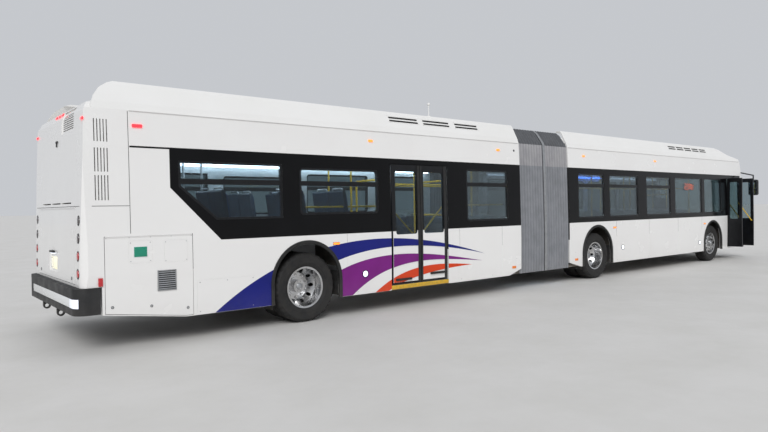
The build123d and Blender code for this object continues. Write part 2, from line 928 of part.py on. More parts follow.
def turntable():
    disc = disc_z(pivot_x, 0, turntable_radius, disc_floor_z[0] + running_gap, disc_floor_z[1])
    foot_y = half_width - skirt_tuck - bellows_inset - hoop_depth
    bar = slab(
        pivot_x - hoop_half,
        pivot_x + hoop_half,
        -foot_y,
        foot_y,
        floor_z - 35,
        floor_z,
    )
    return disc + bar


# Bellows: pleated fabric from each body's end to the centre hoop, open below
bellows_wall = 6
pleat_pitch = 45
pleat_depth = 36
hoop_depth = 45
bellows_inset = 12
bellows_low_z = 320
bellows_top_z = 3150


def bellows_section(depth, low):
    """Half outline of the bellows at a depth below its outer face, (y, z)."""
    half = section_points(bellows_inset + depth)
    half[0] = (half[0][0], low)
    crown_y = half_width - lean_at_cornice - fairing_lean
    return half + [
        (half[-1][0] - 25, cornice_z + 60),
        (crown_y - 20 - 0.6 * depth, bellows_top_z - 70 - depth),
        (crown_y - 110 - 0.6 * depth, bellows_top_z - depth),
    ]


def bellows_outline(x, depth, thickness):
    """The closed section at one x, shaped like a horseshoe that is open below."""
    outer = bellows_section(depth, bellows_low_z)
    inner = bellows_section(depth + thickness, bellows_low_z)
    right = outer + [(-y, z) for y, z in outer[::-1]]
    back = [(-y, z) for y, z in inner] + inner[::-1]
    return outline([(x, y, z) for y, z in right + back])


def centre_hoop():
    section = bellows_outline(pivot_x - hoop_half, 0, hoop_depth)
    return extrude(section, amount=2 * hoop_half, dir=(1, 0, 0))


def pleated_bellows(x0, x1):
    """Folds of fabric whose valleys are clamped at both ends."""
    folds = round((x1 - x0) / pleat_pitch)
    sections = []
    for i in range(2 * folds + 1):
        depth = 0 if i % 2 else pleat_depth
        x = x0 + (x1 - x0) * i / (2 * folds)
        sections.append(bellows_outline(x, depth, bellows_wall))
    return loft(sections, ruled=True)


# Wheels, about the Y axis with the outer face towards -Y
tread_inset = 18           # from the tyre's widest point to the tread's edge
shoulder_width = 28
shoulder_drop = 25
flange_clearance = 4       # from the rim's flange to the sidewall over it


def tyre_section(y_mid):
    """Beads that widen up past the rim's flanges into bulging sidewalls, and a flat tread."""
    foot = (rim_radius + flange_clearance, rim_half - rim_wall - 3)
    shoulder = (tyre_radius - shoulder_drop, tyre_width / 2 - tread_inset)
    edges = [Line((bead_radius, y_mid - bead_half), (bead_radius, y_mid + bead_half))]
    for side in (1, -1):
        bead = (bead_radius, y_mid + side * bead_half)
        low = (foot[0], y_mid + side * foot[1])
        widest = ((foot[0] + tyre_radius) / 2, y_mid + side * tyre_width / 2)
        high = (shoulder[0], y_mid + side * shoulder[1])
        tread_edge = (tyre_radius, high[1] - side * shoulder_width)
        edges += [Line(bead, low), ThreePointArc(low, widest, high), Line(high, tread_edge)]
    tread_half = shoulder[1] - shoulder_width
    edges.append(Line((tyre_radius, y_mid - tread_half), (tyre_radius, y_mid + tread_half)))
    return revolve(make_face(edges), Axis.Y)


disc_thickness = 14
disc_seat = 60             # from the flange in to where the disc joins the barrel
disc_hole_radius = 90
stud_circle = 167.5
hand_holes = 10
hand_hole_circle = 232
hand_hole_radius = 26


def wheel_profile(points):
    return revolve(make_face(Polyline(*points, close=True)), Axis.Y)


def rim(y_mid, disc_y0):
    """A rim barrel with its disc. The disc's outer face at the hub is at disc_y0."""
    r = bead_radius - running_gap
    barrel = wheel_profile(
        [
            (r, y_mid - rim_half + rim_wall + 2),
            (r, y_mid + rim_half - rim_wall - 2),
            (rim_radius, y_mid + rim_half - rim_wall),
            (rim_radius, y_mid + rim_half),
            (r - rim_wall, y_mid + rim_half - 4),
            (r - rim_wall, y_mid - rim_half + 4),
            (rim_radius, y_mid - rim_half),
            (rim_radius, y_mid - rim_half + rim_wall),
        ]
    )
    seat_y = y_mid + (rim_half - disc_seat) * (1 if disc_y0 > y_mid else -1)
    disc = wheel_profile(
        [
            (disc_hole_radius, disc_y0),
            (stud_circle + 30, disc_y0),
            (r - rim_wall + 2, seat_y),
            (r - rim_wall + 2, seat_y + disc_thickness),
            (stud_circle + 30, disc_y0 + disc_thickness),
            (disc_hole_radius, disc_y0 + disc_thickness),
        ]
    )
    for turn in range(hand_holes):
        angle = 2 * math.pi * turn / hand_holes
        disc = disc - disc_y(
            hand_hole_circle * math.cos(angle), hand_hole_circle * math.sin(angle),
            hand_hole_radius, y_mid - 300, y_mid + 300,
        )
    return barrel + disc


spindle_radius = 50
hub_bore = spindle_radius + 2
hub_cap_radius = disc_hole_radius + 2
front_hub_inner = 20       # hub's inner face, from the wheel's middle towards the bus
twin_hub_inner = 250


def hub(flange_radius, flange_y, cap_y, inner_y, bore_y):
    """A cap through the disc's hole, a flange behind the disc, and the spindle's bore."""
    shape = disc_y(0, 0, hub_cap_radius, cap_y, inner_y)
    shape = shape + disc_y(0, 0, flange_radius, flange_y, inner_y)
    return shape - disc_y(0, 0, hub_bore, bore_y, inner_y + 10)


def front_wheel_rim():
    """Single wheel with its disc bulging outwards."""
    disc_face = -112
    return rim(0, disc_face) + hub(160, disc_face + disc_thickness, -140, front_hub_inner, -130)


def twin_wheel_rim():
    """Two wheels bolted back to back, so the outer one is deeply dished."""
    half = twin_spacing / 2
    wheels = rim(-half, -disc_thickness - 1) + rim(half, 0)
    return wheels + hub(130, -30, -120, twin_hub_inner, -90)


axle_z = tyre_radius


def placed_wheel(shape, x, y, side):
    """Shapes are made for the right side, where the outer face looks towards -Y."""
    turned = shape if side < 0 else mirrored(shape)
    return Pos(x, side * y, axle_z) * turned


twin_mid_half = twin_outer_half - twin_spacing / 2


# Axles
beam_low_z = 190
eye_half = 60              # half height of the kingpin eye
eye_radius = 60
fork_gap = 6
fork_height = 40
web = (kingpin_half + 68, front_track_half - front_hub_inner - running_gap)


axle_seat_y = (350, 470)


def axle_seat(x0, x1, side, from_z):
    """The pad on which a low floor rests on its axle beam."""
    top = floor_z - floor_thickness - running_gap
    return slab(x0, x1, *sided(side, *axle_seat_y), from_z, top)


def front_axle_beam():
    x0, x1 = front_axle_x - 55, front_axle_x + 55
    riser = (kingpin_half - 255, kingpin_half - 175)
    beam = slab(x0, x1, -riser[0] - 40, riser[0] + 40, beam_low_z, beam_low_z + 110)
    for side in (-1, 1):
        beam = beam + slab(x0, x1, *sided(side, *riser), beam_low_z, axle_z + eye_half)
        beam = beam + slab(
            x0, x1, *sided(side, riser[0], kingpin_half - 30), axle_z - eye_half, axle_z + eye_half
        )
        beam = beam + disc_z(
            front_axle_x, side * kingpin_half, eye_radius, axle_z - eye_half, axle_z + eye_half
        )
        beam = beam + axle_seat(x0, x1, side, beam_low_z + 100)
    return beam


def steering_knuckle(side):
    """A fork over and under the kingpin eye, with the spindle that carries the wheel."""
    x0, x1 = front_axle_x - 50, front_axle_x + 50
    low = axle_z - eye_half - fork_gap - fork_height
    high = axle_z + eye_half + fork_gap + fork_height
    shape = slab(x0, x1, *sided(side, *web), low, high)
    for z0 in (low, high - fork_height):
        shape = shape + disc_z(front_axle_x, side * kingpin_half, 55, z0, z0 + fork_height)
        shape = shape + slab(x0, x1, *sided(side, kingpin_half, web[1]), z0, z0 + fork_height)
    spindle = disc_y(
        front_axle_x, axle_z, spindle_radius, *sided(side, web[0], front_track_half + 110)
    )
    thrust = disc_z(
        front_axle_x,
        side * kingpin_half,
        30,
        low + fork_height - 1,
        axle_z - eye_half - running_gap,
    )
    return shape + spindle + thrust


twin_riser = (wheelhouse_inner + 28, wheelhouse_inner + 63)
air_spring_radius = 100


def twin_carrier(x, side):
    """The riser, flange and spindle at one end of a dropped or straight axle."""
    hub_face = twin_mid_half - twin_hub_inner - running_gap
    flange = disc_y(x, axle_z, 110, *sided(side, twin_riser[1], hub_face))
    spindle = disc_y(x, axle_z, spindle_radius, *sided(side, twin_riser[0], twin_mid_half + 70))
    return flange + spindle


def middle_axle():
    x0, x1 = middle_axle_x - 75, middle_axle_x + 75
    low = beam_low_z - 20
    beam = slab(x0, x1, -twin_riser[1], twin_riser[1], low, low + 120)
    for side in (-1, 1):
        beam = beam + slab(x0, x1, *sided(side, *twin_riser), low, axle_z + 80)
        beam = beam + axle_seat(x0, x1, side, low + 100)
        beam = beam + twin_carrier(middle_axle_x, side)
    return beam


def rear_axle():
    tube = disc_y(rear_axle_x, axle_z, 85, -twin_riser[1], twin_riser[1])
    bowl = revolve(
        Pos(rear_axle_x, 0, axle_z)
        * make_face(
            Polyline((0, -190), (120, -190), (220, -90), (220, 90), (120, 190), (0, 190), close=True)
        ),
        Axis(origin=(rear_axle_x, 0, axle_z), direction=(0, 1, 0)),
    )
    shape = tube + bowl
    for side in (-1, 1):
        shape = shape + disc_z(
            rear_axle_x,
            side * sum(axle_seat_y) / 2,
            air_spring_radius,
            axle_z,
            platform_z - floor_thickness - running_gap,
        )
        shape = shape + twin_carrier(rear_axle_x, side)
    return shape


# Doors: each leaf is a frame with a tall pane
leaf_frame = 75
leaf_foot = 800            # solid panel below the pane, above the leaf's bottom
leaf_head = 110
leaf_inset = 3             # from the wall's skin to a closed leaf's outer face
pane_depth = (16, 22)      # below the wall's skin
pane_corner = 40


def leaf_shape(x0, x1, z0, z1):
    """A closed leaf, following the wall's lean, on the right side."""
    sheet = wall_sheet(x0, x1, leaf_inset, leaf_inset + leaf_thickness, -1)
    zone = slab(x0, x1, -2000, 0, z0, z1)

    def pane_hole(inset):
        return rounded_y(
            x0 + leaf_frame + inset, x1 - leaf_frame - inset,
            z0 + leaf_foot + inset, z1 - leaf_head - inset,
            pane_corner - inset, -2000, 0,
        )

    pane = wall_sheet(x0, x1, *pane_depth, -1) & pane_hole(running_gap)
    return (sheet & zone) - pane_hole(0), pane


hinge_y = -(half_width - leaf_inset - leaf_thickness / 2)
leaf_pin_radius = 6
leaf_rail_radius = 13
leaf_rail_stand = 45       # from the leaf's inner face to the rail's middle
leaf_rail_z = (-60, 430)   # its ends, from the pane's lower edge


def leaf_rail(hinge_x, free_x, z):
    """The grab rail across the inside of a leaf, on a foot at each end and high at the hinge."""
    y = leaf_inset + leaf_thickness - half_width + leaf_rail_stand
    inward = math.copysign(leaf_frame / 2, free_x - hinge_x)
    ends = [
        (free_x - inward, y, z + leaf_rail_z[0]),
        (hinge_x + inward, y, z + leaf_rail_z[1]),
    ]
    rail = rod(*ends, leaf_rail_radius)
    for x, y, z in ends:
        rail = rail + rod((x, y, z), (x, y - leaf_rail_stand - 5, z), leaf_rail_radius - 2)
        rail = rail + Pos(x, y, z) * Sphere(leaf_rail_radius)
    return rail


def door_leaves(door_x, z0, sill_z):
    """Leaves of a two-leaf door as (frame, pane, hinge x), rear leaf first."""
    x0, x1 = door_x[0] + jamb_gap, door_x[1] - jamb_gap
    z1 = door_top_z - 10
    middle = (x0 + x1) / 2
    leaves = []
    for hinge_x, free_x in ((x0, middle - leaf_gap / 2), (x1, middle + leaf_gap / 2)):
        frame, pane = leaf_shape(*sorted((hinge_x, free_x)), z0, z1)
        pin = disc_z(hinge_x, hinge_y, leaf_pin_radius, z1 - 20, door_top_z - running_gap)
        foot = disc_z(hinge_x, hinge_y, leaf_pin_radius, sill_z + running_gap, z0 + 20)
        rail = leaf_rail(hinge_x, free_x, z0 + leaf_foot)
        leaves.append((frame + pin + foot + rail, pane, hinge_x))
    return leaves


def swung(shape, hinge_x, angle):
    return shape.rotate(Axis(origin=(hinge_x, hinge_y, 0), direction=(0, 0, 1)), angle)


def ramp():
    """A folding plate that lies in the floor, with its hinge barrel along the doorway."""
    top = ramp_top_z
    plate = slab(*ramp_x, ramp_hinge_y, ramp_hinge_y + ramp_length, top - ramp_thickness, top)
    barrel = rod(
        (ramp_x[0], ramp_hinge_y, ramp_hinge_z), (ramp_x[1], ramp_hinge_y, ramp_hinge_z),
        ramp_barrel_radius,
    )
    grip_y = ramp_hinge_y + ramp_length - 90
    middle = sum(ramp_x) / 2
    grip = slab(middle - 70, middle + 70, grip_y, grip_y + 35, top - 12, top + 1)
    return plate + barrel - grip


# Seats: x of the seat back's rear, side, height of what the leg stands on, floor height
seat_pitch = 750
front_seat_rows = [
    (front_axle_x - 1435 - i * seat_pitch, side, floor_z, floor_z)
    for i in range(5)
    for side in (-1, 1)
]
rear_seat_rows = [
    (rear_body_end_x - 735, -1, floor_z, floor_z),
    (rear_body_end_x - 735 - seat_pitch, -1, floor_z, floor_z),
    (rear_body_end_x - 735, 1, floor_z, floor_z),
    (rear_body_end_x - 735 - seat_pitch, 1, floor_z, floor_z),
    (rear_axle_x + 2590, 1, floor_z, floor_z),
    (rear_axle_x + 1840, 1, floor_z, floor_z),
    (rear_axle_x + 690, -1, platform_z, platform_z),
    (rear_axle_x + 690, 1, platform_z, platform_z),
    (rear_axle_x - 60, -1, wheelhouse_top_z, platform_z),
    (rear_axle_x - 60, 1, wheelhouse_top_z, platform_z),
    (rear_axle_x - 1260, -1, platform_z, platform_z),
    (rear_axle_x - 1260, 1, platform_z, platform_z),
    (bulkhead_x + 60, -1, platform_z, platform_z),
    (bulkhead_x + 60, 1, platform_z, platform_z),
]
seat_wall_gap = 95         # from the side of the bus to the outer seat
seat_width = 412
seat_gap = 16
seat_height = 430
seat_depth = 440
seat_back_height = 640
seat_shell = 45


def seat_profile(x, top):
    """Side view of one seat: a dished pan that sweeps up into a leaning back."""
    front = x + 90 + seat_depth
    back_top = top + seat_back_height
    edges = [
        Line((x + 170, 0, top - 42), (front - 25, 0, top - 22)),
        ThreePointArc((front - 25, 0, top - 22), (front, 0, top), (front - 22, 0, top + 24)),
        Line((front - 22, 0, top + 24), (x + 210, 0, top + 2)),
        ThreePointArc((x + 210, 0, top + 2), (x + 160, 0, top + 22), (x + 138, 0, top + 70)),
        Line((x + 138, 0, top + 70), (x + seat_shell + 15, 0, back_top - 20)),
        ThreePointArc(
            (x + seat_shell + 15, 0, back_top - 20),
            (x + seat_shell / 2 + 3, 0, back_top),
            (x, 0, back_top - 22),
        ),
        Line((x, 0, back_top - 22), (x + 92, 0, top + 30)),
        ThreePointArc((x + 92, 0, top + 30), (x + 118, 0, top - 22), (x + 170, 0, top - 42)),
    ]
    return make_face(edges)


def seat(x, side, base_z, level_z):
    """A pair of shells on a cross beam and one leg, facing forward."""
    top = level_z + seat_height
    outer = half_width - seat_wall_gap
    inner = outer - 2 * seat_width - seat_gap
    profile = seat_profile(x, top)
    shape = slab(x + 250, x + 330, *sided(side, inner + 30, outer - 30), top - 75, top - 28)
    for near in (inner, outer - seat_width):
        y0, y1 = sided(side, near, near + seat_width)
        shape = shape + extrude(Pos(0, y0, 0) * profile, amount=y1 - y0, dir=(0, 1, 0))
    middle = (inner + outer) / 2
    leg_y = sided(side, middle - 35, middle + 35)
    leg = slab(x + 255, x + 325, *leg_y, base_z + 5, top - 60)
    foot_y = sided(side, middle - 70, middle + 70)
    foot = slab(x + 190, x + 400, *foot_y, base_z + running_gap, base_z + 15)
    return shape + leg + foot


# Handrails. Columns: x of a pair of floor-to-ceiling posts, floor height
rail_radius = 16
rail_half_y = 335
grab_z = 2050
ceiling_z = roof_z - wall
front_posts = [
    (front_axle_x + 665, floor_z),
    *[(front_axle_x - 1485 - 1500 * i, floor_z) for i in range(3)],
    (front_body_end_x + 185, floor_z),
]
rear_posts = [
    (rear_body_end_x - 335, floor_z),
    (rear_door_x[1] + 95, floor_z),
    (rear_door_x[0] - 75, floor_z),
    (rear_axle_x - 1160, platform_z),
]


def handrails(posts):
    """Posts from floor to ceiling, with grab bars from post to post."""
    bars = []
    for side in (-1, 1):
        y = side * rail_half_y
        for x, z in posts:
            bars.append(rod((x, y, z + running_gap), (x, y, ceiling_z - running_gap), rail_radius))
        for (x0, _), (x1, _) in zip(posts, posts[1:]):
            reach = rail_radius + running_gap
            bars.append(rod((x1 + reach, y, grab_z), (x0 - reach, y, grab_z), rail_radius - 2))
    return bars


# Driver's place
driver_x = front_axle_x + 865
driver_y = half_width - 655
column_top = (front_cap_x - 400, driver_y, 1180)
column_foot = (front_cap_x - 140, driver_y, 700)
driver_platform_z = 560


def driver_seat():
    """A cushion and a high back on a bellows pillar."""
    top = driver_platform_z + 460
    seat_half = 250
    edges = [
        Line((driver_x + 110, 0, top - 85), (driver_x + 540, 0, top - 60)),
        ThreePointArc(
            (driver_x + 540, 0, top - 60), (driver_x + 568, 0, top - 22), (driver_x + 540, 0, top + 14)
        ),
        Line((driver_x + 540, 0, top + 14), (driver_x + 190, 0, top + 5)),
        ThreePointArc(
            (driver_x + 190, 0, top + 5), (driver_x + 160, 0, top + 20), (driver_x + 148, 0, top + 60)
        ),
        Line((driver_x + 148, 0, top + 60), (driver_x + 75, 0, top + 740)),
        ThreePointArc(
            (driver_x + 75, 0, top + 740), (driver_x + 38, 0, top + 768), (driver_x, 0, top + 740)
        ),
        Line((driver_x, 0, top + 740), (driver_x + 60, 0, top - 40)),
        Line((driver_x + 60, 0, top - 40), (driver_x + 110, 0, top - 85)),
    ]
    shell = extrude(
        Pos(0, driver_y - seat_half, 0) * make_face(edges), amount=2 * seat_half, dir=(0, 1, 0)
    )
    pillar = disc_z(driver_x + 320, driver_y, 110, driver_platform_z + running_gap, top - 65)
    return shell + pillar


def dashboard():
    """Panel across the driver's side, with the steering column."""
    profile = [
        (front_cap_x - 260, 900),
        (front_cap_x - 10, 710),
        (front_cap_x + 150, 710),
        (front_cap_x + 150, 1080),
        (front_cap_x - 110, 1150),
        (front_cap_x - 240, 1060),
    ]
    panel = prism_y(profile, -150, half_width - 175) - (front_form(0) - front_form(wall + 0.5))
    return panel + rod(column_foot, column_top, 35)


def driver_step():
    """The raised, hollow floor under the driver."""
    inner_y = driver_y - 390
    outer_y = floor_half - 10
    step = slab(driver_x - 80, front_cap_x - 10, inner_y, outer_y, floor_z - 1, driver_platform_z)
    return step - slab(
        driver_x - 330,
        front_cap_x - 260,
        inner_y - 10,
        outer_y + 10,
        floor_z - 2,
        driver_platform_z - 30,
    )


wheel_rim_radius = 225


def steering_wheel():
    along = Vector(*column_top) - Vector(*column_foot)
    plane = Plane(origin=Vector(*column_top), z_dir=along)
    ring = plane * Pos(0, 0, 45) * Torus(wheel_rim_radius, 16)
    hub = plane * Pos(0, 0, 25 + running_gap / 2) * Cylinder(55, 50 - running_gap)
    shape = ring + hub
    for turn in range(3):
        spoke = plane * Pos(0, 0, 35) * Rot(0, 0, 120 * turn) * Pos(115, 0, 0) * Box(215, 34, 14)
        shape = shape + spoke
    return shape


# Mirrors on arms from the front corners
mirror_x = front_x - 65
mirror_y = (half_width + 145, half_width + 395)
mirror_z = (1830, 2290)
mirror_arm_radius = 18


def mirrors():
    shapes = []
    for side in (-1, 1):
        y0, y1 = sided(side, *mirror_y)
        head = slab(mirror_x - 40, mirror_x + 40, y0, y1, *mirror_z)
        head = fillet(head.edges().filter_by(Axis.X), radius=50)
        hang_y = side * (half_width + 265)
        root = (mirror_x - 140, side * (half_width - 115), 2530)
        arm = rod(root, (mirror_x, hang_y, 2420), mirror_arm_radius)
        arm = arm + Pos(mirror_x, hang_y, 2420) * Sphere(mirror_arm_radius)
        arm = arm + rod((mirror_x, hang_y, 2420), (mirror_x, hang_y, mirror_z[1] - 10), mirror_arm_radius)
        shapes.append(head + (arm - front_form(0)))
    return shapes


# Rooftop equipment
fan_radius = 190
fan_hub_radius = 60
fan_depth = 50


def roof_unit(x0, x1, half, height):
    """A closed case with rounded long edges and a row of open fan wells."""
    box = slab(x0, x1, -half, half, roof_z + running_gap, roof_z + height)
    case = fillet(box.edges().filter_by(Axis.X).group_by(Axis.Z)[-1], radius=60)
    top = roof_z + height
    for i in range(3):
        x = x0 + (x1 - x0) * (i + 0.5) / 3
        case = case - disc_z(x, 0, fan_radius, top - fan_depth, top + 1)
        case = case + disc_z(x, 0, fan_hub_radius, top - fan_depth - 1, top - 12)
    return case


hatch_half = 300
hatch_height = 45


def roof_hatch(x):
    """The escape hatch's domed lid."""
    lid = slab(
        x - hatch_half, x + hatch_half, -hatch_half, hatch_half,
        roof_z + running_gap, roof_z + hatch_height,
    )
    return fillet(lid.edges().group_by(Axis.Z)[-1], radius=20)


def antenna(x, y):
    """A short mast on the fairing's top."""
    foot = disc_z(x, y, 35, fairing_z + running_gap, fairing_z + 20)
    mast = disc_z(x, y, 9, fairing_z + 19, fairing_z + 215)
    return foot + mast + Pos(x, y, fairing_z + 225) * Sphere(26)


os.makedirs("parts", exist_ok=True)

save("front_wall_right", front_wall(-1))
save("front_wall_left", front_wall(1))
save("rear_wall_right", rear_wall(-1))
save("rear_wall_left", rear_wall(1))

end_plate = 20
save("front_roof", roof(front_body_end_x, front_cap_x)
     + roof_end_plate(front_body_end_x, front_body_end_x + end_plate)
     + ceiling_coves(front_body_end_x, front_cap_x - 150))
save("rear_roof", roof(rear_cap_x, rear_body_end_x)
     + roof_end_plate(rear_body_end_x - end_plate, rear_body_end_x)
     + ceiling_coves(bulkhead_x + 60, rear_body_end_x))
save("front_fairings", *[fairing(front_body_end_x, front_cap_x - 5, side, front_fairing_edge)
                         - vent_cuts(front_vents) for side in (-1, 1)])
save("rear_fairings", *[fairing(rear_face_x + 150, rear_body_end_x, side, rear_fairing_edge)
                        - vent_cuts(rear_vents) for side in (-1, 1)])
save("front_cap", front_shell())
save("rear_cap", rear_shell())
save("engine_door", engine_door())
for side, name in ((-1, "right"), (1, "left")):
    save(f"service_door_{name}", service_door(side))
front_bumper_z = (300, front_cap_low_z - running_gap)
rack_z = 495
save("front_bumper", bumper(front_x, front_cap_x + 5, 1, *front_bumper_z)
     + tow_lugs(front_x - bumper_depth / 2 - 8, front_bumper_z[0])
     - rack_holes(front_x - bumper_depth / 2, rack_z))
strip_z = (535, 650)         # shallow recess for the pale strip across the rear bumper
strip_half = half_width - 240
strip_depth = 6
save("rear_bumper", bumper(rear_x, rear_cap_low_x - 20, -1, bumper_low_z, bumper_high_z)
     + tow_lugs(rear_x + bumper_depth / 2 + 8, bumper_low_z)
     - slab(rear_x - 1, rear_x + strip_depth, -strip_half, strip_half, *strip_z))

front_panes = []
front_frames = []
rear_panes = []
rear_frames = []
for side in (-1, 1):
    extra = driver_windows if side > 0 else []
    panes, frames = windows_of(
        front_windows + extra, side, False, front_body_end_x, front_cap_x
    )
    front_panes += panes
    front_frames += frames
    extra = rear_left_windows if side > 0 else []
    panes, frames = windows_of(
        rear_windows + extra, side, True, rear_cap_low_x, rear_body_end_x
    )
    rear_panes += panes
    rear_frames += frames
save("front_window_glass", *front_panes, *windshield_panes())
save("front_window_frames", *front_frames)
save("rear_window_glass", *rear_panes)
save("rear_window_frames", *rear_frames)

save("front_floor", front_floor() + driver_step() + front_arm())
save("rear_floor", rear_floor() + rear_arm())
save("turntable", turntable())
save("centre_hoop", centre_hoop())
save("front_bellows", pleated_bellows(pivot_x + hoop_half, front_body_end_x))
save("rear_bellows", pleated_bellows(rear_body_end_x, pivot_x - hoop_half))

save("front_axle", front_axle_beam())
save("middle_axle", middle_axle())
save("rear_axle", rear_axle())
for side, name in ((-1, "right"), (1, "left")):
    save(f"knuckle_{name}", steering_knuckle(side))
    save(f"front_rim_{name}", placed_wheel(front_wheel_rim(), front_axle_x, front_track_half, side))
    save(f"front_tyre_{name}", placed_wheel(tyre_section(0), front_axle_x, front_track_half, side))
    for place, x in (("middle", middle_axle_x), ("rear", rear_axle_x)):
        save(f"{place}_rims_{name}", placed_wheel(twin_wheel_rim(), x, twin_mid_half, side))
        half = twin_spacing / 2
        save(
            f"{place}_tyres_{name}",
            placed_wheel(tyre_section(-half), x, twin_mid_half, side),
            placed_wheel(tyre_section(half), x, twin_mid_half, side),
        )

for frame, pane, hinge_x in door_leaves(rear_door_x, rear_door_low_z, rear_door_low_z - 8):
    name = "rear" if hinge_x < sum(rear_door_x) / 2 else "front"
    save(f"rear_door_{name}_leaf", frame, pane)
for frame, pane, hinge_x in door_leaves(front_door_x, door_low_z, door_sill_z):
    rearward = hinge_x < sum(front_door_x) / 2
    name = "rear" if rearward else "front"
    angle = -90 if rearward else 90
    save(f"front_door_{name}_leaf", swung(frame, hinge_x, angle), swung(pane, hinge_x, angle))
save("ramp", ramp())

save("front_seats", driver_seat(), *[seat(*row) for row in front_seat_rows])
save("rear_seats", *[seat(*row) for row in rear_seat_rows])
save("front_handrails", *handrails(front_posts))
save("rear_handrails", *handrails(rear_posts))
save("dashboard", dashboard())
save("steering_wheel", steering_wheel())
save("mirrors", *mirrors())
engine_x = (rear_face_x + 110, bulkhead_x - 80)
save("engine", slab(*engine_x, -400, 400, rail_z[1] + running_gap, 1330))
unit_height = 190
save("front_roof_units",
     roof_unit(middle_axle_x - 400, middle_axle_x + 2000, 620, unit_height),
     roof_unit(front_axle_x - 2185, front_axle_x + 115, 620, unit_height),
     roof_hatch(middle_axle_x + 2800), roof_hatch(front_axle_x + 700))
save("rear_roof_units",
     roof_unit(rear_axle_x + 1440, rear_axle_x + 3640, 700, unit_height),
     roof_unit(rear_axle_x - 2060, rear_axle_x - 210, 700, unit_height - 20),
     roof_hatch(rear_axle_x + 600), roof_hatch(rear_body_end_x - 600),
     antenna(rear_axle_x + 2700, 295 - half_width))
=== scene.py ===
import math

import bmesh
import bpy
from mathutils import Matrix, Vector, geometry


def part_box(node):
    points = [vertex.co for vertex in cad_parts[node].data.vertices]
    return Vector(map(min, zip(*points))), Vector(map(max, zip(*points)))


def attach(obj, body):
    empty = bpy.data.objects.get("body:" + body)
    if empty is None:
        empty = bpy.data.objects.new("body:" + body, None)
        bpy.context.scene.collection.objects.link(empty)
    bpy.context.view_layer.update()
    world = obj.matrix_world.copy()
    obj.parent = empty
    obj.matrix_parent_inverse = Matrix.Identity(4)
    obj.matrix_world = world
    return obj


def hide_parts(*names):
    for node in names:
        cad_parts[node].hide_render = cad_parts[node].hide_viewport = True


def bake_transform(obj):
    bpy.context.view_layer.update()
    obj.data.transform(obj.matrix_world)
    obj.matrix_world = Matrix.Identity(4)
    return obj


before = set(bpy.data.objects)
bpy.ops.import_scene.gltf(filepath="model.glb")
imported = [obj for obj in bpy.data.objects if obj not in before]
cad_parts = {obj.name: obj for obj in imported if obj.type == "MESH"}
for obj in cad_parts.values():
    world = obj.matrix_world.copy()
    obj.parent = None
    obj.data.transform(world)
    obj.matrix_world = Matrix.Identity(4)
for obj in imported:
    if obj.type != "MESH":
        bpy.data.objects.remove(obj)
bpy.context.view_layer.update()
scene = bpy.context.scene
scene.view_settings.view_transform = "Standard"

# Everything is in metres, +X forward, the door side at -Y
frontAxleX, middleAxleX, rearAxleX = [
    sum(corner.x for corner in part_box(node)) / 2
    for node in ("front_tyre_right", "middle_tyres_right", "rear_tyres_right")]
axleZ = sum(corner.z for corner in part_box("front_tyre_right")) / 2
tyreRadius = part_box("front_tyre_right")[1].z - axleZ
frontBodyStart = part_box("front_bellows")[1].x
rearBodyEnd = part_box("rear_bellows")[0].x
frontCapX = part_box("front_wall_right")[1].x
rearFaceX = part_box("rear_cap")[0].x
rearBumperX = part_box("rear_bumper")[0].x
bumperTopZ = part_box("rear_bumper")[1].z

# Height and half width of the wall's outer face, from the skirt to the cornice
sideLine = [(0.310, 1.285), (0.900, 1.295), (1.250, 1.295), (2.410, 1.275), (2.830, 1.258)]
# Height and place along the bus of the rear face
rearLine = [(1.000, rearFaceX), (1.900, rearFaceX + 0.030), (2.800, rearFaceX + 0.065),
            (2.900, rearFaceX + 0.115), (2.950, rearFaceX + 0.240)]
skirtZ = 0.310
waistZ = 1.250
bandTopZ = 2.410
corniceZ = 2.830
doors = {
    "rear": {"low": rearAxleX + 1.565, "high": rearAxleX + 2.845, "bottom": 0.395, "top": 2.320},
    "front": {"low": frontAxleX + 0.945, "high": frontAxleX + 1.825, "bottom": 0.360, "top": 2.320},
}
jambGap = 0.030       # from the jamb to a leaf's edge
hingeOut = 1.272      # from the bus's middle plane to the door hinges
filmStand = 0.0008    # how far a film lies off the paint
filmThickness = 0.0006
behindX, aheadX, besideY = -12, 12, 3     # where rays towards the bus start
bothSides = ((-1, "right"), (1, "left"))


# Reads a line of (height, distance) points at one height
def readLine(line, height):
    for (z0, d0), (z1, d1) in zip(line, line[1:]):
        if height <= z1:
            return d0 + (d1 - d0) * (height - z0) / (z1 - z0)
    return line[-1][1]


# The wall's outer face on one side, as a Y coordinate
def wallY(side, height, stand=0.0):
    return side * (readLine(sideLine, max(height, skirtZ)) + stand)


# A colour in sRGB hex as linear values
def toLinear(hexCode):
    channels = [int(hexCode[i:i + 2], 16) / 255 for i in (1, 3, 5)]
    return tuple(c / 12.92 if c <= 0.04045 else ((c + 0.055) / 1.055) ** 2.4 for c in channels) + (1.0,)


# Pattern scale for a feature of that many millimetres
def perMetre(millimetres):
    return 1000 / millimetres


# Adds a node: a property's name sets it, a socket's name or number sets it or links to it
def addNode(tree, kind, settings={}):
    node = tree.nodes.new("ShaderNode" + kind)
    for key, value in settings.items():
        if isinstance(key, str) and hasattr(node, key):
            setattr(node, key, value)
        elif isinstance(value, bpy.types.NodeSocket):
            tree.links.new(value, node.inputs[key])
        else:
            node.inputs[key].default_value = value
    return node


def startFinish(name, settings):
    material = bpy.data.materials.new(name)
    material.use_nodes = True
    tree = material.node_tree
    shader = tree.nodes["Principled BSDF"]
    shader.inputs["Base Color"].default_value = toLinear(settings["colour"])
    for socket, value in settings.get("shader", {}).items():
        shader.inputs[socket].default_value = value
    place = addNode(tree, "TexCoord").outputs["Object"]
    return material, tree, shader, place


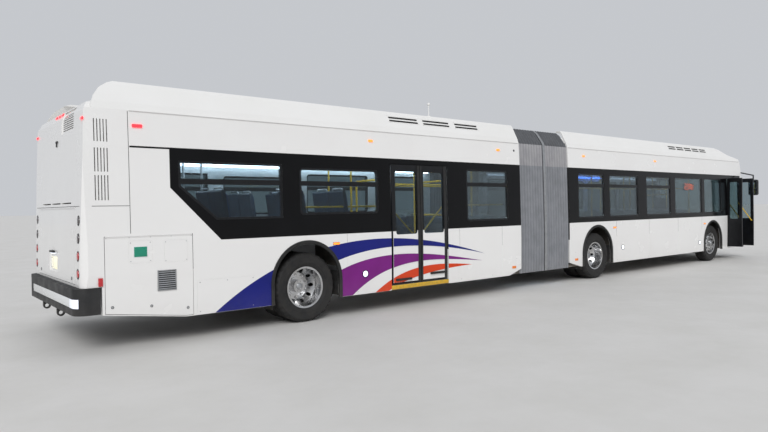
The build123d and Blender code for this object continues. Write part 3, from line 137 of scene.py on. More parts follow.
# A finish with patches of a second colour, uneven gloss, grain and dust that thins with height
def makeFinish(name, settings):
    material, tree, shader, place = startFinish(name, settings)
    patches = addNode(tree, "TexNoise", {
        "Vector": place, "Scale": perMetre(settings.get("patch", 400)), "Detail": 5.0, "Roughness": 0.6})
    spread = addNode(tree, "MapRange", {
        "Value": patches.outputs["Fac"], "From Min": 0.35, "From Max": 0.7,
        "To Max": settings.get("share", 1.0)})
    colour = addNode(tree, "Mix", {
        "data_type": "RGBA", 0: spread.outputs[0], 6: toLinear(settings["colour"]),
        7: toLinear(settings.get("worn", settings["colour"]))}).outputs[2]
    if "dust" in settings:
        dust = settings["dust"]
        height = addNode(tree, "SeparateXYZ", {"Vector": place}).outputs["Z"]
        fade = addNode(tree, "MapRange", {
            "Value": height, "From Min": dust["full"], "From Max": dust["none"], "To Min": dust["share"],
            "To Max": 0.0})
        clouds = addNode(tree, "TexNoise", {"Vector": place, "Scale": perMetre(dust["size"]), "Detail": 8.0})
        amount = addNode(tree, "Math", {
            "operation": "MULTIPLY", 0: fade.outputs[0], 1: clouds.outputs["Fac"]})
        colour = addNode(tree, "Mix", {
            "data_type": "RGBA", 0: amount.outputs[0], 6: colour, 7: toLinear(dust["colour"])}).outputs[2]
    tree.links.new(colour, shader.inputs["Base Color"])
    low, high = settings["rough"]
    smudges = addNode(tree, "TexNoise", {
        "Vector": place, "Scale": perMetre(settings.get("smudge", 150)), "Detail": 6.0})
    gloss = addNode(tree, "MapRange", {
        "Value": smudges.outputs["Fac"], "From Min": 0.3, "From Max": 0.7, "To Min": low, "To Max": high})
    tree.links.new(gloss.outputs[0], shader.inputs["Roughness"])
    grain = addNode(tree, "TexNoise", {
        "Vector": place, "Scale": perMetre(settings["grain"]), "Detail": 3.0, "Roughness": 0.5})
    bump = addNode(tree, "Bump", {
        "Strength": settings.get("grainStrength", 0.3), "Distance": settings.get("grainDepth", 0.0003),
        "Height": grain.outputs["Fac"]})
    tree.links.new(bump.outputs[0], shader.inputs["Normal"])
    return material


roadDust = {"colour": "#978F84", "full": 0.28, "none": 0.62, "share": 0.14, "size": 130}

# Two-pack gloss enamel on sheet panels: pale, clean, a soft orange peel drawn coarser than real
bodyPaint = makeFinish("gloss enamel, white", {
    "colour": "#ECEBE9", "worn": "#E9E7E5", "patch": 1400, "rough": (0.23, 0.28), "smudge": 400, "grain": 22,
    "grainDepth": 0.0001, "grainStrength": 0.02, "dust": roadDust,
    "shader": {"Coat Weight": 0.4, "Coat Roughness": 0.06}})
# The same enamel on the moulded roof parts, a little chalky from the sun
roofPaint = makeFinish("gel coat, white", {
    "colour": "#E8E7E5", "worn": "#E4E3E0", "patch": 1100, "rough": (0.38, 0.46), "smudge": 400, "grain": 14,
    "grainDepth": 0.0001, "grainStrength": 0.03})
# Gloss black coating over the window band: deep, hard reflections, faint wiping marks
bandBlack = makeFinish("gloss coating, black", {
    "colour": "#070708", "worn": "#0C0C0E", "patch": 500, "rough": (0.08, 0.16), "smudge": 90, "grain": 40,
    "grainDepth": 0.0001, "grainStrength": 0.1, "shader": {"Specular IOR Level": 0.18}})
# EPDM rubber of seals, lips and gaskets: matt, greyed where it weathers
sealRubber = makeFinish("EPDM rubber, black", {
    "colour": "#151516", "worn": "#232322", "patch": 60, "rough": (0.55, 0.75), "grain": 2,
    "grainDepth": 0.0002, "dust": roadDust})
# Anodised aluminium door and window sections: satin, fine grain
anodisedBlack = makeFinish("anodised aluminium, black", {
    "colour": "#17181A", "worn": "#1E1F22", "patch": 120, "rough": (0.3, 0.42), "grain": 1.5,
    "grainDepth": 0.0001, "shader": {"Metallic": 0.5}})
# Moulded polyurethane bumper skin: leathery mould grain, scuffed
bumperSkin = makeFinish("moulded polyurethane, black", {
    "colour": "#18181A", "worn": "#2A2A2A", "patch": 180, "rough": (0.45, 0.65), "grain": 4,
    "grainDepth": 0.0005, "dust": roadDust})
# Chassis paint under the floor, with dry road film
chassisPaint = makeFinish("chassis enamel, black", {
    "colour": "#1A1A1B", "worn": "#3B352E", "patch": 90, "share": 0.7, "rough": (0.6, 0.85), "grain": 5,
    "grainDepth": 0.0008, "dust": {**roadDust, "none": 1.4, "share": 0.9, "size": 140}})
# Cast and forged parts with a rusty bloom on the skin
castIron = makeFinish("cast iron, painted", {
    "colour": "#3A3836", "worn": "#5B4334", "patch": 35, "share": 0.8, "rough": (0.55, 0.8), "grain": 3,
    "grainDepth": 0.0008, "shader": {"Metallic": 0.3}})
# Forged wheel aluminium, machine polished: bright with patches of brake dust
wheelAluminium = makeFinish("forged aluminium, polished", {
    "colour": "#CDCED0", "worn": "#B3B0AC", "patch": 160, "share": 0.7, "rough": (0.12, 0.26), "smudge": 90,
    "grain": 6, "grainDepth": 0.0001, "grainStrength": 0.15, "shader": {"Metallic": 1.0}})
# Chromed steel nuts and caps
chromedSteel = makeFinish("chromed steel", {
    "colour": "#D9DADC", "worn": "#A9A6A0", "patch": 12, "rough": (0.08, 0.22), "grain": 2,
    "grainDepth": 0.0001, "shader": {"Metallic": 1.0}})
# Brushed stainless tubes, bolts and trim
brushedSteel = makeFinish("brushed stainless steel", {
    "colour": "#B9BBBD", "worn": "#A3A4A5", "patch": 60, "rough": (0.25, 0.4), "grain": 1.2,
    "grainDepth": 0.0001, "shader": {"Metallic": 1.0}})
# Powder coat on the cabin tubes: bright yellow, fine eggshell texture
powderYellow = makeFinish("powder coat, yellow", {
    "colour": "#E8BE17", "worn": "#D9AC12", "patch": 80, "rough": (0.28, 0.4), "grain": 2.5,
    "grainDepth": 0.0002})
# Yellow tread edge: moulded vinyl, scuffed grey by shoes
treadYellow = makeFinish("moulded vinyl, yellow", {
    "colour": "#E3B422", "worn": "#A98E3C", "patch": 40, "share": 0.7, "rough": (0.4, 0.6), "grain": 3,
    "grainDepth": 0.0003, "dust": roadDust})
# Light grey laminate of the cabin's walls and ceiling
cabinLaminate = makeFinish("melamine laminate, pale grey", {
    "colour": "#C9CCCE", "worn": "#C1C4C6", "patch": 300, "rough": (0.35, 0.45), "grain": 3,
    "grainDepth": 0.0002})
# Moulded polyester seat shells, dark blue grey with a fine spark grain
seatPlastic = makeFinish("moulded polyester, blue grey", {
    "colour": "#35404E", "worn": "#3D4857", "patch": 90, "rough": (0.4, 0.52), "grain": 1.8,
    "grainDepth": 0.0002})
# ABS of dash, mirrors and lamp housings
mouldedAbs = makeFinish("moulded ABS, black", {
    "colour": "#1B1C1E", "worn": "#242527", "patch": 70, "rough": (0.42, 0.55), "grain": 1.5,
    "grainDepth": 0.0003})
# Extruded aluminium of the centre hoop and the grille slats
hoopAluminium = makeFinish("extruded aluminium, satin", {
    "colour": "#B4B6B8", "worn": "#9C9D9E", "patch": 90, "rough": (0.28, 0.42), "grain": 2,
    "grainDepth": 0.0001, "shader": {"Metallic": 0.9}})
# Cast vinyl films of the sweeping bands: even colour, satin, a little road dust low down
filmNavy, filmPurple, filmOrange = [
    makeFinish(f"cast vinyl film, {name}", {
        "colour": colour, "worn": worn, "patch": 500, "rough": (0.3, 0.4), "grain": 14, "grainDepth": 0.0002,
        "dust": {**roadDust, "share": 0.1}, "shader": {"Specular IOR Level": 0.3}})
    for name, colour, worn in (("navy", "#0F1A7A", "#0D176C"), ("purple", "#7C1C80", "#721874"),
                               ("orange red", "#D8431A", "#CB3D17"))]
# The same film in green, on a small plate
signGreen = makeFinish("cast vinyl film, green", {
    "colour": "#1E8E72", "worn": "#1B8469", "patch": 60, "rough": (0.25, 0.35), "grain": 6,
    "grainDepth": 0.0001})
# Silvered mirror glass
mirrorGlass = makeFinish("silvered glass", {
    "colour": "#D5DADD", "worn": "#CDD2D5", "patch": 200, "rough": (0.01, 0.04), "grain": 200,
    "grainDepth": 0.00001, "shader": {"Metallic": 1.0}})
# Black mesh inside vents and louvres, near-black so that it also paints the shade inside them
ventMeshPaintedShade = makeFinish("expanded mesh, black", {
    "colour": "#0C0C0C", "worn": "#1A1918", "patch": 9, "rough": (0.7, 0.9), "grain": 7, "grainDepth": 0.002,
    "grainStrength": 0.8})


# Rubber of tyres: matt, with brown dust
tyreRubber = makeFinish("natural rubber compound, black", {
    "colour": "#1A1A1B", "worn": "#2B2926", "patch": 110, "share": 0.8, "rough": (0.65, 0.85), "grain": 4,
    "grainDepth": 0.0004})


# Coated bellows cloth: level threads drawn at 6 mm, patchy grime
def bellowsFinish(name, colour, worn):
    material = makeFinish(name, {
        "colour": colour, "worn": worn, "patch": 220, "share": 0.8, "rough": (0.6, 0.8), "grain": 5,
        "grainDepth": 0.0005, "dust": roadDust})
    tree = material.node_tree
    shader = tree.nodes["Principled BSDF"]
    place = tree.nodes["Texture Coordinate"].outputs["Object"]
    threads = addNode(tree, "TexWave", {
        "bands_direction": "Z", "Vector": place, "Scale": perMetre(6) / math.pi, "Distortion": 0.4})
    weave = addNode(tree, "Bump", {"Strength": 0.3, "Distance": 0.0008, "Height": threads.outputs["Fac"]})
    tree.links.new(shader.inputs["Normal"].links[0].from_socket, weave.inputs["Normal"])
    tree.links.new(weave.outputs[0], shader.inputs["Normal"])
    return material


# Thin tinted safety glass: what lies behind stays clear, both faces reflect the room
def paneGlass(name, tint, share):
    material = bpy.data.materials.new(name)
    material.use_nodes = True
    tree = material.node_tree
    tree.nodes.clear()
    clear = addNode(tree, "BsdfTransparent", {"Color": toLinear(tint)})
    shine = addNode(tree, "BsdfGlossy", {"Color": toLinear("#FFFFFF"), "Roughness": 0.02})
    place = addNode(tree, "TexCoord").outputs["Object"]
    film = addNode(tree, "TexNoise", {"Vector": place, "Scale": perMetre(350), "Detail": 4.0})
    edge = addNode(tree, "Fresnel", {"IOR": 1.38})
    amount = addNode(tree, "MapRange", {
        "Value": film.outputs["Fac"], "To Min": share * 0.85, "To Max": share * 1.15})
    factor = addNode(tree, "Math", {"operation": "MULTIPLY", 0: edge.outputs[0], 1: amount.outputs[0]})
    both = addNode(tree, "MixShader", {0: factor.outputs[0], 1: clear.outputs[0], 2: shine.outputs[0]})
    addNode(tree, "OutputMaterial", {"Surface": both.outputs[0]})
    return material


# Coloured acrylic lens with fine flutes, lit from inside where glow is above zero
def lensFinish(name, colour, glow):
    material, tree, shader, place = startFinish(name, {
        "colour": colour,
        "shader": {"Roughness": 0.08, "Coat Weight": 1.0, "Coat Roughness": 0.03,
                   "Emission Color": toLinear(colour), "Emission Strength": glow}})
    flutes = addNode(tree, "TexWave", {
        "bands_direction": "Z", "Vector": place, "Scale": perMetre(9) / (2 * math.pi)})
    ribs = addNode(tree, "Bump", {"Strength": 0.4, "Distance": 0.001, "Height": flutes.outputs["Fac"]})
    tree.links.new(ribs.outputs[0], shader.inputs["Normal"])
    return material


# Opal polycarbonate of the ceiling lights, lit
def diffuserFinish(name, glow, strength):
    material, tree, shader, place = startFinish(name, {
        "colour": "#F4F8FC",
        "shader": {"Roughness": 0.5, "Emission Color": toLinear(glow), "Emission Strength": strength}})
    ribs = addNode(tree, "TexNoise", {"Vector": place, "Scale": perMetre(40)})
    bump = addNode(tree, "Bump", {"Strength": 0.1, "Distance": 0.001, "Height": ribs.outputs["Fac"]})
    tree.links.new(bump.outputs[0], shader.inputs["Normal"])
    return material


# Sheet vinyl floor: charcoal with mixed flecks of 2 to 3 mm
def floorFinish():
    material, tree, shader, place = startFinish("sheet vinyl, charcoal fleck", {
        "colour": "#3B3D40", "shader": {"Roughness": 0.55}})
    flecks = addNode(tree, "TexVoronoi", {"Vector": place, "Scale": perMetre(9)})
    chosen = addNode(tree, "MapRange", {
        "Value": flecks.outputs["Distance"], "From Min": 0.12, "From Max": 0.16, "To Min": 1.0,
        "To Max": 0.0})
    tint = addNode(tree, "Mix", {
        "data_type": "RGBA", 0: 0.6, 6: toLinear("#6C7076"), 7: flecks.outputs["Color"]})
    base = addNode(tree, "Mix", {
        "data_type": "RGBA", 0: chosen.outputs[0], 6: toLinear("#3B3D40"), 7: tint.outputs[2]})
    tree.links.new(base.outputs[2], shader.inputs["Base Color"])
    return material


# Wool moquette of the seat pads: a navy cut pile, lighter lines woven round blocks of 28 by 14 mm
def moquetteFinish():
    material, tree, shader, place = startFinish("wool moquette, navy", {
        "colour": "#232E4F",
        "shader": {"Roughness": 0.9, "Sheen Weight": 0.4, "Sheen Roughness": 0.5}})
    dashes = addNode(tree, "TexBrick", {
        "Vector": place, "Scale": perMetre(56), "Color1": toLinear("#232E4F"), "Color2": toLinear("#1D2743"),
        "Mortar": toLinear("#47608F"), "Mortar Size": 0.06, "Brick Width": 0.5, "Row Height": 0.25})
    pile = addNode(tree, "TexNoise", {"Vector": place, "Scale": perMetre(2.5), "Detail": 2.0})
    shade = addNode(tree, "Mix", {
        "data_type": "RGBA", "blend_type": "MULTIPLY", 0: 0.5, 6: dashes.outputs["Color"],
        7: pile.outputs["Color"]})
    tree.links.new(shade.outputs[2], shader.inputs["Base Color"])
    bump = addNode(tree, "Bump", {"Strength": 0.5, "Distance": 0.001, "Height": pile.outputs["Fac"]})
    tree.links.new(bump.outputs[0], shader.inputs["Normal"])
    return material


# Retroreflective tape with a net of 14 mm cells; where glow is above zero, the tape glows with a painted
# reflection
def tapeFinish(name, colour, glow=0.0):
    material, tree, shader, place = startFinish(name, {
        "colour": colour, "shader": {"Roughness": 0.25, "Coat Weight": 1.0,
                                     "Emission Color": toLinear(colour), "Emission Strength": glow}})
    cells = addNode(tree, "TexVoronoi", {"feature": "DISTANCE_TO_EDGE", "Vector": place,
                                         "Scale": perMetre(14)})
    lines = addNode(tree, "MapRange", {
        "Value": cells.outputs["Distance"], "From Max": 0.06, "To Min": 0.75, "To Max": 1.0})
    tint = addNode(tree, "Mix", {
        "data_type": "RGBA", "blend_type": "MULTIPLY", 0: 1.0, 6: toLinear(colour), 7: lines.outputs[0]})
    tree.links.new(tint.outputs[2], shader.inputs["Base Color"])
    return material


# Blank display: rows of 10 mm light dots behind dark glass, all of them on or all off
def displayFinish(name, glow):
    material, tree, shader, place = startFinish(name, {
        "colour": "#120A08", "shader": {"Roughness": 0.2, "Emission Color": toLinear("#FF5A1E")}})
    dots = addNode(tree, "TexVoronoi", {"Vector": place, "Scale": perMetre(16), "Randomness": 0.0})
    lit = addNode(tree, "MapRange", {
        "Value": dots.outputs["Distance"], "From Min": 0.3, "From Max": 0.4, "To Min": glow, "To Max": 0.0})
    tree.links.new(lit.outputs[0], shader.inputs["Emission Strength"])
    return material


bellowsGrey = bellowsFinish("coated polyester cloth, grey", "#85878C", "#737579")
bellowsPale = bellowsFinish("coated polyester cloth, pale grey", "#9C9B9D", "#8B8A8E")
bellowsHood = bellowsFinish("coated polyester cloth, dark grey", "#56585C", "#4A4B4E")
cabinGlass = paneGlass("tinted safety glass", "#C3CDD0", 0.8)
frontGlass = paneGlass("laminated windscreen glass", "#D3DEDD", 1.0)
lensRed = lensFinish("acrylic lens, red", "#A3101A", 0.25)
lensRedLit = lensFinish("acrylic lens, red, lit", "#FF2430", 1.6)
lensAmber = lensFinish("acrylic lens, amber", "#D9741A", 0.2)
lensAmberLit = lensFinish("acrylic lens, amber, lit", "#FF8A24", 1.2)
lensSmoke = lensFinish("acrylic lens, smoked", "#2A1215", 0.0)
lensClear = lensFinish("acrylic lens, clear", "#D8DEE2", 0.1)
lensWhiteLit = lensFinish("acrylic lens, white, lit", "#EAF2FF", 1.6)
lightDiffuser = diffuserFinish("opal polycarbonate, lit", "#EAF4FF", 14.0)
lightSoft = diffuserFinish("opal polycarbonate, lit low", "#DCE9FF", 6.0)
lightDim = diffuserFinish("opal polycarbonate, dimmed", "#DCE9FF", 1.2)
lightBlue = diffuserFinish("opal polycarbonate, lit blue", "#3F7BFF", 9.0)
floorVinyl = floorFinish()
moquette = moquetteFinish()
whiteTape = tapeFinish("retroreflective tape, white", "#E7E9EA")
# Silver tape that glows: a painted highlight on the bumper's corner
tapePaintedGlint = tapeFinish("retroreflective tape, silver, painted glint", "#EEF2FF", 0.5)
# Red tape that glows faintly: a painted reflection on the corner reflectors
redTapePaintedGlint = tapeFinish("retroreflective tape, red, painted glint", "#B3121C", 0.15)
# Plate that glows: painted light from the plate lamp above it
plateWithPaintedLight = tapeFinish("blank plate, cream, painted lamplight", "#F1EBC6", 0.7)
displayOn = displayFinish("dot display, lit", 60.0)
displayOff = displayFinish("dot display, dark", 0.05)
print("finishes ready")


# Adds a box between two corners, with its edges rounded
def addBlock(bm, corner, opposite, bevel=0.0, segments=2, look=0):
    low = Vector(map(min, corner, opposite))
    high = Vector(map(max, corner, opposite))
    made = bmesh.ops.create_cube(bm, size=1.0, matrix=Matrix.Translation((low + high) / 2)
                                 @ Matrix.Diagonal((*(high - low), 1.0)))
    faces = {face for vert in made["verts"] for face in vert.link_faces}
    for face in faces:
        face.material_index = look
    if bevel:
        edges = list({edge for vert in made["verts"] for edge in vert.link_edges})
        bmesh.ops.bevel(bm, geom=edges, offset=bevel, segments=segments, profile=0.5, affect="EDGES",
                        material=-1)
    return made["verts"]


# Turns local Z towards an axis
def towards(axis):
    return Vector((0, 0, 1)).rotation_difference(Vector(axis).normalized()).to_matrix().to_4x4()


# Adds a round bar or a cone about a middle point
def addBar(bm, middle, axis, radius, length, sides=24, tip=None, look=0):
    made = bmesh.ops.create_cone(
        bm, cap_ends=True, segments=sides, radius1=radius, radius2=radius if tip is None else tip,
        depth=length, matrix=Matrix.Translation(middle) @ towards(axis))
    for vert in made["verts"]:
        for face in vert.link_faces:
            face.material_index = look


# Turns a profile of (radius, distance along the axis) points round an axis
def addTurned(bm, profile, middle, axis, steps=32, look=0, closed=False):
    part = bmesh.new()
    verts = [part.verts.new((radius, 0, rise)) for radius, rise in profile]
    pairs = list(zip(verts, verts[1:])) + ([(verts[-1], verts[0])] if closed else [])
    edges = [part.edges.new(pair) for pair in pairs]
    bmesh.ops.spin(part, geom=verts + edges, cent=(0, 0, 0), axis=(0, 0, 1), angle=2 * math.pi, steps=steps,
                   use_merge=True)
    bmesh.ops.remove_doubles(part, verts=part.verts, dist=0.00001)
    bmesh.ops.recalc_face_normals(part, faces=part.faces)
    joinPart(bm, part, Matrix.Translation(middle) @ towards(axis), look)


# Moves a finished part into the piece's mesh
def joinPart(bm, part, matrix=Matrix(), look=0):
    for face in part.faces:
        face.material_index = look
    part.transform(matrix)
    mesh = bpy.data.meshes.new("part")
    part.to_mesh(mesh)
    part.free()
    bm.from_mesh(mesh)
    bpy.data.meshes.remove(mesh)


# Adds a tube that follows points, with its corners rounded by short steps
def addTube(bm, points, radius, sides=12, look=0):
    bend = 0.03
    curve = bpy.data.curves.new("tube", "CURVE")
    curve.dimensions = "3D"
    curve.bevel_depth = radius
    curve.bevel_resolution = sides // 4
    curve.use_fill_caps = True
    spline = curve.splines.new("POLY")
    path = [Vector(points[0])]
    for before, corner, after in zip(points, points[1:], points[2:]):
        before, corner, after = Vector(before), Vector(corner), Vector(after)
        start = corner + (before - corner).normalized() * min(bend, (before - corner).length / 2.2)
        end = corner + (after - corner).normalized() * min(bend, (after - corner).length / 2.2)
        path += geometry.interpolate_bezier(start, start.lerp(corner, 0.6), end.lerp(corner, 0.6), end, 6)
    path.append(Vector(points[-1]))
    spline.points.add(len(path) - 1)
    for point, place in zip(spline.points, path):
        point.co = (*place, 1)
    holder = bpy.data.objects.new("tube", curve)
    scene.collection.objects.link(holder)
    mesh = bpy.data.meshes.new_from_object(holder.evaluated_get(bpy.context.evaluated_depsgraph_get()))
    part = bmesh.new()
    part.from_mesh(mesh)
    bmesh.ops.remove_doubles(part, verts=part.verts, dist=0.00001)
    joinPart(bm, part, look=look)
    bpy.data.objects.remove(holder)
    bpy.data.curves.remove(curve)
    bpy.data.meshes.remove(mesh)


# Makes an object of a mesh in work, shaded smooth where its faces meet at less than an angle
def makeObject(name, bm, finishes, smooth=0):
    mesh = bpy.data.meshes.new(name)
    bm.to_mesh(mesh)
    bm.free()
    for finish in finishes:
        mesh.materials.append(finish)
    if smooth:
        mesh.shade_smooth()
        mesh.set_sharp_from_angle(angle=math.radians(smooth))
    made = bpy.data.objects.new(name, mesh)
    scene.collection.objects.link(made)
    return made


# Makes a piece that rides on a body, and may stand for built nodes
def placePiece(name, bm, finishes, body, smooth=35, stands=()):
    bmesh.ops.recalc_face_normals(bm, faces=bm.faces)
    piece = makeObject(name, bm, finishes, smooth)
    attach(piece, body)
    if stands:
        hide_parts(*stands)
    return piece


# Dresses a built node: the first finish everywhere, the others on the faces that their tests pick
def dressNode(name, finish, *others):
    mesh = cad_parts[name].data
    mesh.materials.clear()
    mesh.materials.append(finish)
    for number, (other, test) in enumerate(others, 1):
        mesh.materials.append(other)
        for face in mesh.polygons:
            if test(face.center, face.normal):
                face.material_index = number


# A node's skin where the test keeps its faces, cut off beyond the planes
def nodeSkin(node, kept, planes):
    bm = bmesh.new()
    bm.from_mesh(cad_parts[node].data)
    bmesh.ops.remove_doubles(bm, verts=bm.verts, dist=0.00002)
    bm.normal_update()
    bmesh.ops.delete(bm, geom=[face for face in bm.faces if not kept(face)], context="FACES")
    for point, outwardWay in planes:
        bmesh.ops.bisect_plane(bm, geom=bm.verts[:] + bm.edges[:] + bm.faces[:], dist=0.000001,
                               plane_co=point, plane_no=outwardWay, clear_outer=True)
    return bm


# The two planes that bound a stretch of the X, Y or Z axis, with their ways out
def between(axis, one, other):
    def along(value):
        return tuple(value if k == axis else 0 for k in range(3))

    way = 1 if one > other else -1
    return [(along(one), along(way)), (along(other), along(-way))]


# A film on the outer skin of a wall or a leaf
def skinFilm(node, side, planes, stand=filmStand, thickness=filmThickness, depth=0.006):
    def outside(face):
        middle = face.calc_center_median()
        return (face.normal.y * side >= 0.95
                and middle.y * side >= readLine(sideLine, max(middle.z, skirtZ)) - depth)

    bm = nodeSkin(node, outside, planes)
    bmesh.ops.translate(bm, verts=bm.verts, vec=(0, side * stand, 0))
    bmesh.ops.solidify(bm, geom=bm.faces[:], thickness=thickness)
    return bm


# Joins each ring of points to the next with faces
def stitchRings(bm, rings):
    for first, second in zip(rings, rings[1:]):
        for k in range(len(first)):
            after = (k + 1) % len(first)
            bm.faces.new((first[k], first[after], second[after], second[k]))


# Where a ray meets a built node: the point, and the direction out of the surface
def surfacePoint(node, start, way):
    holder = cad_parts[node]
    inverse = holder.matrix_world.inverted()
    local = (inverse.to_3x3() @ Vector(way)).normalized()
    for nudge in (0, 0.0011, -0.0017):        # the next try clears an edge between two triangles
        hit, point, normal, _ = holder.ray_cast(inverse @ (Vector(start) + Vector((nudge, nudge, nudge))),
                                                local)
        if hit:
            break
    else:
        raise ValueError(f"no surface on {node} from {start}")
    normal = (holder.matrix_world.to_3x3() @ normal).normalized()
    return holder.matrix_world @ point, normal if normal.dot(Vector(way)) < 0 else -normal


# Adds a rounded block on a surface: width along it, height up it, depth out of it
def addOnSurface(bm, node, start, way, size, bevel=0.003, look=0):
    sunk = 0.002
    point, out = surfacePoint(node, start, way)
    along = Vector((0, 0, 1)).cross(out).normalized()
    turn = Matrix((along, out.cross(along), out)).transposed().to_4x4()
    part = bmesh.new()
    addBlock(part, (-size[0] / 2, -size[1] / 2, -sunk), (size[0] / 2, size[1] / 2, size[2]), bevel)
    joinPart(bm, part, Matrix.Translation(point) @ turn, look)


# Adds a round lamp on a surface: a bezel in the first finish and a crowned lens in another
def addLamp(bm, node, start, way, radius, height, look):
    point, out = surfacePoint(node, start, way)
    inner = radius * 0.80
    addTurned(bm, [(radius, -0.001), (radius, height * 0.55), (radius * 0.96, height * 0.72),
                   (inner, height * 0.6), (inner, -0.001)], point, out, steps=28, closed=True)
    addTurned(bm, [(0, 0), (inner, 0), (inner, height * 0.5), (radius * 0.72, height * 0.78),
                   (radius * 0.4, height * 0.95), (0, height)], point, out, steps=28, look=look)


# Adds a pan head screw on a surface
def addScrew(bm, node, start, way, radius=0.007, look=0):
    point, out = surfacePoint(node, start, way)
    addTurned(bm, [(0, -0.001), (radius, -0.001), (radius, 0.0012), (radius * 0.6, 0.003), (0, 0.0034)],
              point, out, steps=12, look=look)


# The built nodes' own finishes
plainNodes = [
    (roofPaint, "front_fairings rear_fairings front_roof_units rear_roof_units"),
    (bodyPaint, "rear_cap engine_door service_door_right service_door_left"),
    (bumperSkin, "front_bumper rear_bumper"),
    (anodisedBlack, "front_window_frames rear_window_frames"),
    (cabinGlass, "rear_window_glass"),
    (mouldedAbs, "mirrors steering_wheel dashboard"),
    (seatPlastic, "front_seats rear_seats"),
    (powderYellow, "front_handrails"),
    (castIron, "front_axle middle_axle rear_axle knuckle_left knuckle_right engine"),
    (wheelAluminium, "front_rim_left middle_rims_left rear_rims_left"),
    (wheelAluminium, "front_rim_right middle_rims_right rear_rims_right"),
    (tyreRubber, "front_tyre_left middle_tyres_left rear_tyres_left"),
    (tyreRubber, "front_tyre_right middle_tyres_right rear_tyres_right"),
    (hoopAluminium, "centre_hoop"),
    (bellowsGrey, "front_bellows rear_bellows"),
]
for finish, names in plainNodes:
    for name in names.split():
        dressNode(name, finish)
for section in ("front", "rear"):
    for side, sideName in bothSides:
        dressNode(f"{section}_wall_{sideName}", bodyPaint,
                  (cabinLaminate, lambda middle, normal: normal.y * side < -0.8),
                  (sealRubber, lambda middle, normal: abs(normal.y) < 0.7 and 0.9 < middle.z < bandTopZ))
    dressNode(f"{section}_roof", roofPaint,
              (cabinLaminate, lambda middle, normal: middle.z < 2.9 and abs(middle.y) < 1.2))
    dressNode(f"{section}_floor", chassisPaint,
              (floorVinyl, lambda middle, normal: normal.z > 0.9 and 0.37 < middle.z < 0.9),
              (cabinLaminate, lambda middle, normal: middle.z > 0.385 and abs(middle.y) < 0.75
               and abs(normal.z) < 0.5),
              (cabinLaminate, lambda middle, normal: normal.z > 0.9 and middle.z > 1.1))
dressNode("front_cap", bodyPaint, (cabinLaminate, lambda middle, normal: normal.x < -0.7))
dressNode("front_window_glass", cabinGlass, (frontGlass, lambda middle, normal: middle.x > frontCapX + 0.01))
dressNode("turntable", brushedSteel, (floorVinyl, lambda middle, normal: normal.z > 0.9 and middle.z > 0.37))
dressNode("ramp", chassisPaint, (floorVinyl, lambda middle, normal: normal.z > 0.9))
dressNode("rear_handrails", powderYellow, (brushedSteel, lambda middle, normal: middle.x < rearAxleX + 0.2))


# A leaf's pane lies between its faces, and its grab rail and feet stand off its inner face
def dressLeaf(name, across, paneNear, depthOf):
    door = doors[name.split("_")[0]]

    def onPane(middle, normal):
        return (paneNear < depthOf(middle) < 0.024 and abs(normal[across]) > 0.9
                and door["bottom"] + 0.80 < middle.z < door["top"] - 0.11)

    dressNode(name, anodisedBlack, (cabinGlass, onPane),
              (powderYellow, lambda middle, normal: depthOf(middle) > 0.046))


frontHinges = {"rear": doors["front"]["low"] + jambGap, "front": doors["front"]["high"] - jambGap}
for place, hingeX in frontHinges.items():
    way = 1 if place == "rear" else -1        # from the leaf's outer face towards its rail
    dressLeaf(f"rear_door_{place}_leaf", 1, 0.014, lambda middle: abs(middle.y - wallY(-1, middle.z)))
    dressLeaf(f"front_door_{place}_leaf", 0, 0.010,
              lambda middle: (middle.x - hingeX) * way + readLine(sideLine, middle.z) - hingeOut)
print("nodes dressed")


# Black window band on both sides, cut from the walls' skin
rearBand = {"slantTop": (rearAxleX - 1.966, 1.918), "slantFoot": (rearAxleX - 1.314, waistZ),
            "strip": (rearAxleX - 2.440, 0.020)}


def windowBands():
    for side, sideName in bothSides:
        heights = between(2, waistZ, bandTopZ)
        film = skinFilm(f"front_wall_{sideName}", side, heights)
        placePiece(f"frontWindowBand_{sideName}", film, [bandBlack], "front_section")
        (topX, topZ), (footX, footZ) = rearBand["slantTop"], rearBand["slantFoot"]
        slope = Vector((topZ - footZ, 0, footX - topX)).normalized() * -1
        film = skinFilm(f"rear_wall_{sideName}", side, heights + [
            ((topX, 0, topZ), (-1, 0, 0)), ((footX, 0, footZ), slope)])
        placePiece(f"rearWindowBand_{sideName}", film, [bandBlack], "rear_section")
        stripStart, stripHeight = rearBand["strip"]
        film = skinFilm(f"rear_wall_{sideName}", side,
                        between(0, stripStart, topX) + between(2, bandTopZ - stripHeight, bandTopZ))
        placePiece(f"rearBandStrip_{sideName}", film, [bandBlack], "rear_section")


windowBands()
print("window bands ready")


# Sweeping bands of colour. Each edge is a curve from its foot at the skirt to its tip, as (x, height)
stripes = {
    "navy": {"finish": filmNavy,
             "upper": [(-7.64, 0.28), (-5.90, 1.64), (-3.55, 1.07), (-2.40, 0.77)],
             "lower": [(-6.62, 0.28), (-5.70, 1.38), (-3.30, 0.96), (-2.40, 0.77)]},
    "purple": {"finish": filmPurple,
               "upper": [(-6.30, 0.28), (-5.40, 1.20), (-3.65, 0.84), (-2.48, 0.65)],
               "lower": [(-5.44, 0.28), (-4.66, 0.87), (-3.75, 0.78), (-2.48, 0.65)]},
    "orange": {"finish": filmOrange,
               "upper": [(-5.00, 0.28), (-4.34, 0.74), (-3.58, 0.69), (-2.75, 0.60)],
               "lower": [(-4.70, 0.30), (-4.25, 0.53), (-3.46, 0.58), (-2.75, 0.60)]},
}
archRadius = {"front": 0.560, "middle": 0.580, "rear": 0.580}
archLift = 0.005      # from the ground to the lowest point that an arch's full circle would have


# Height of a band's edge at a place along the bus, or nothing before its foot
def edgeHeight(edge, x):
    x = min(x, edge[-1].x)
    for first, second in zip(edge, edge[1:]):
        if first.x <= x <= second.x:
            return first.z + (second.z - first.z) * (x - first.x) / max(second.x - first.x, 0.000001)
    return None


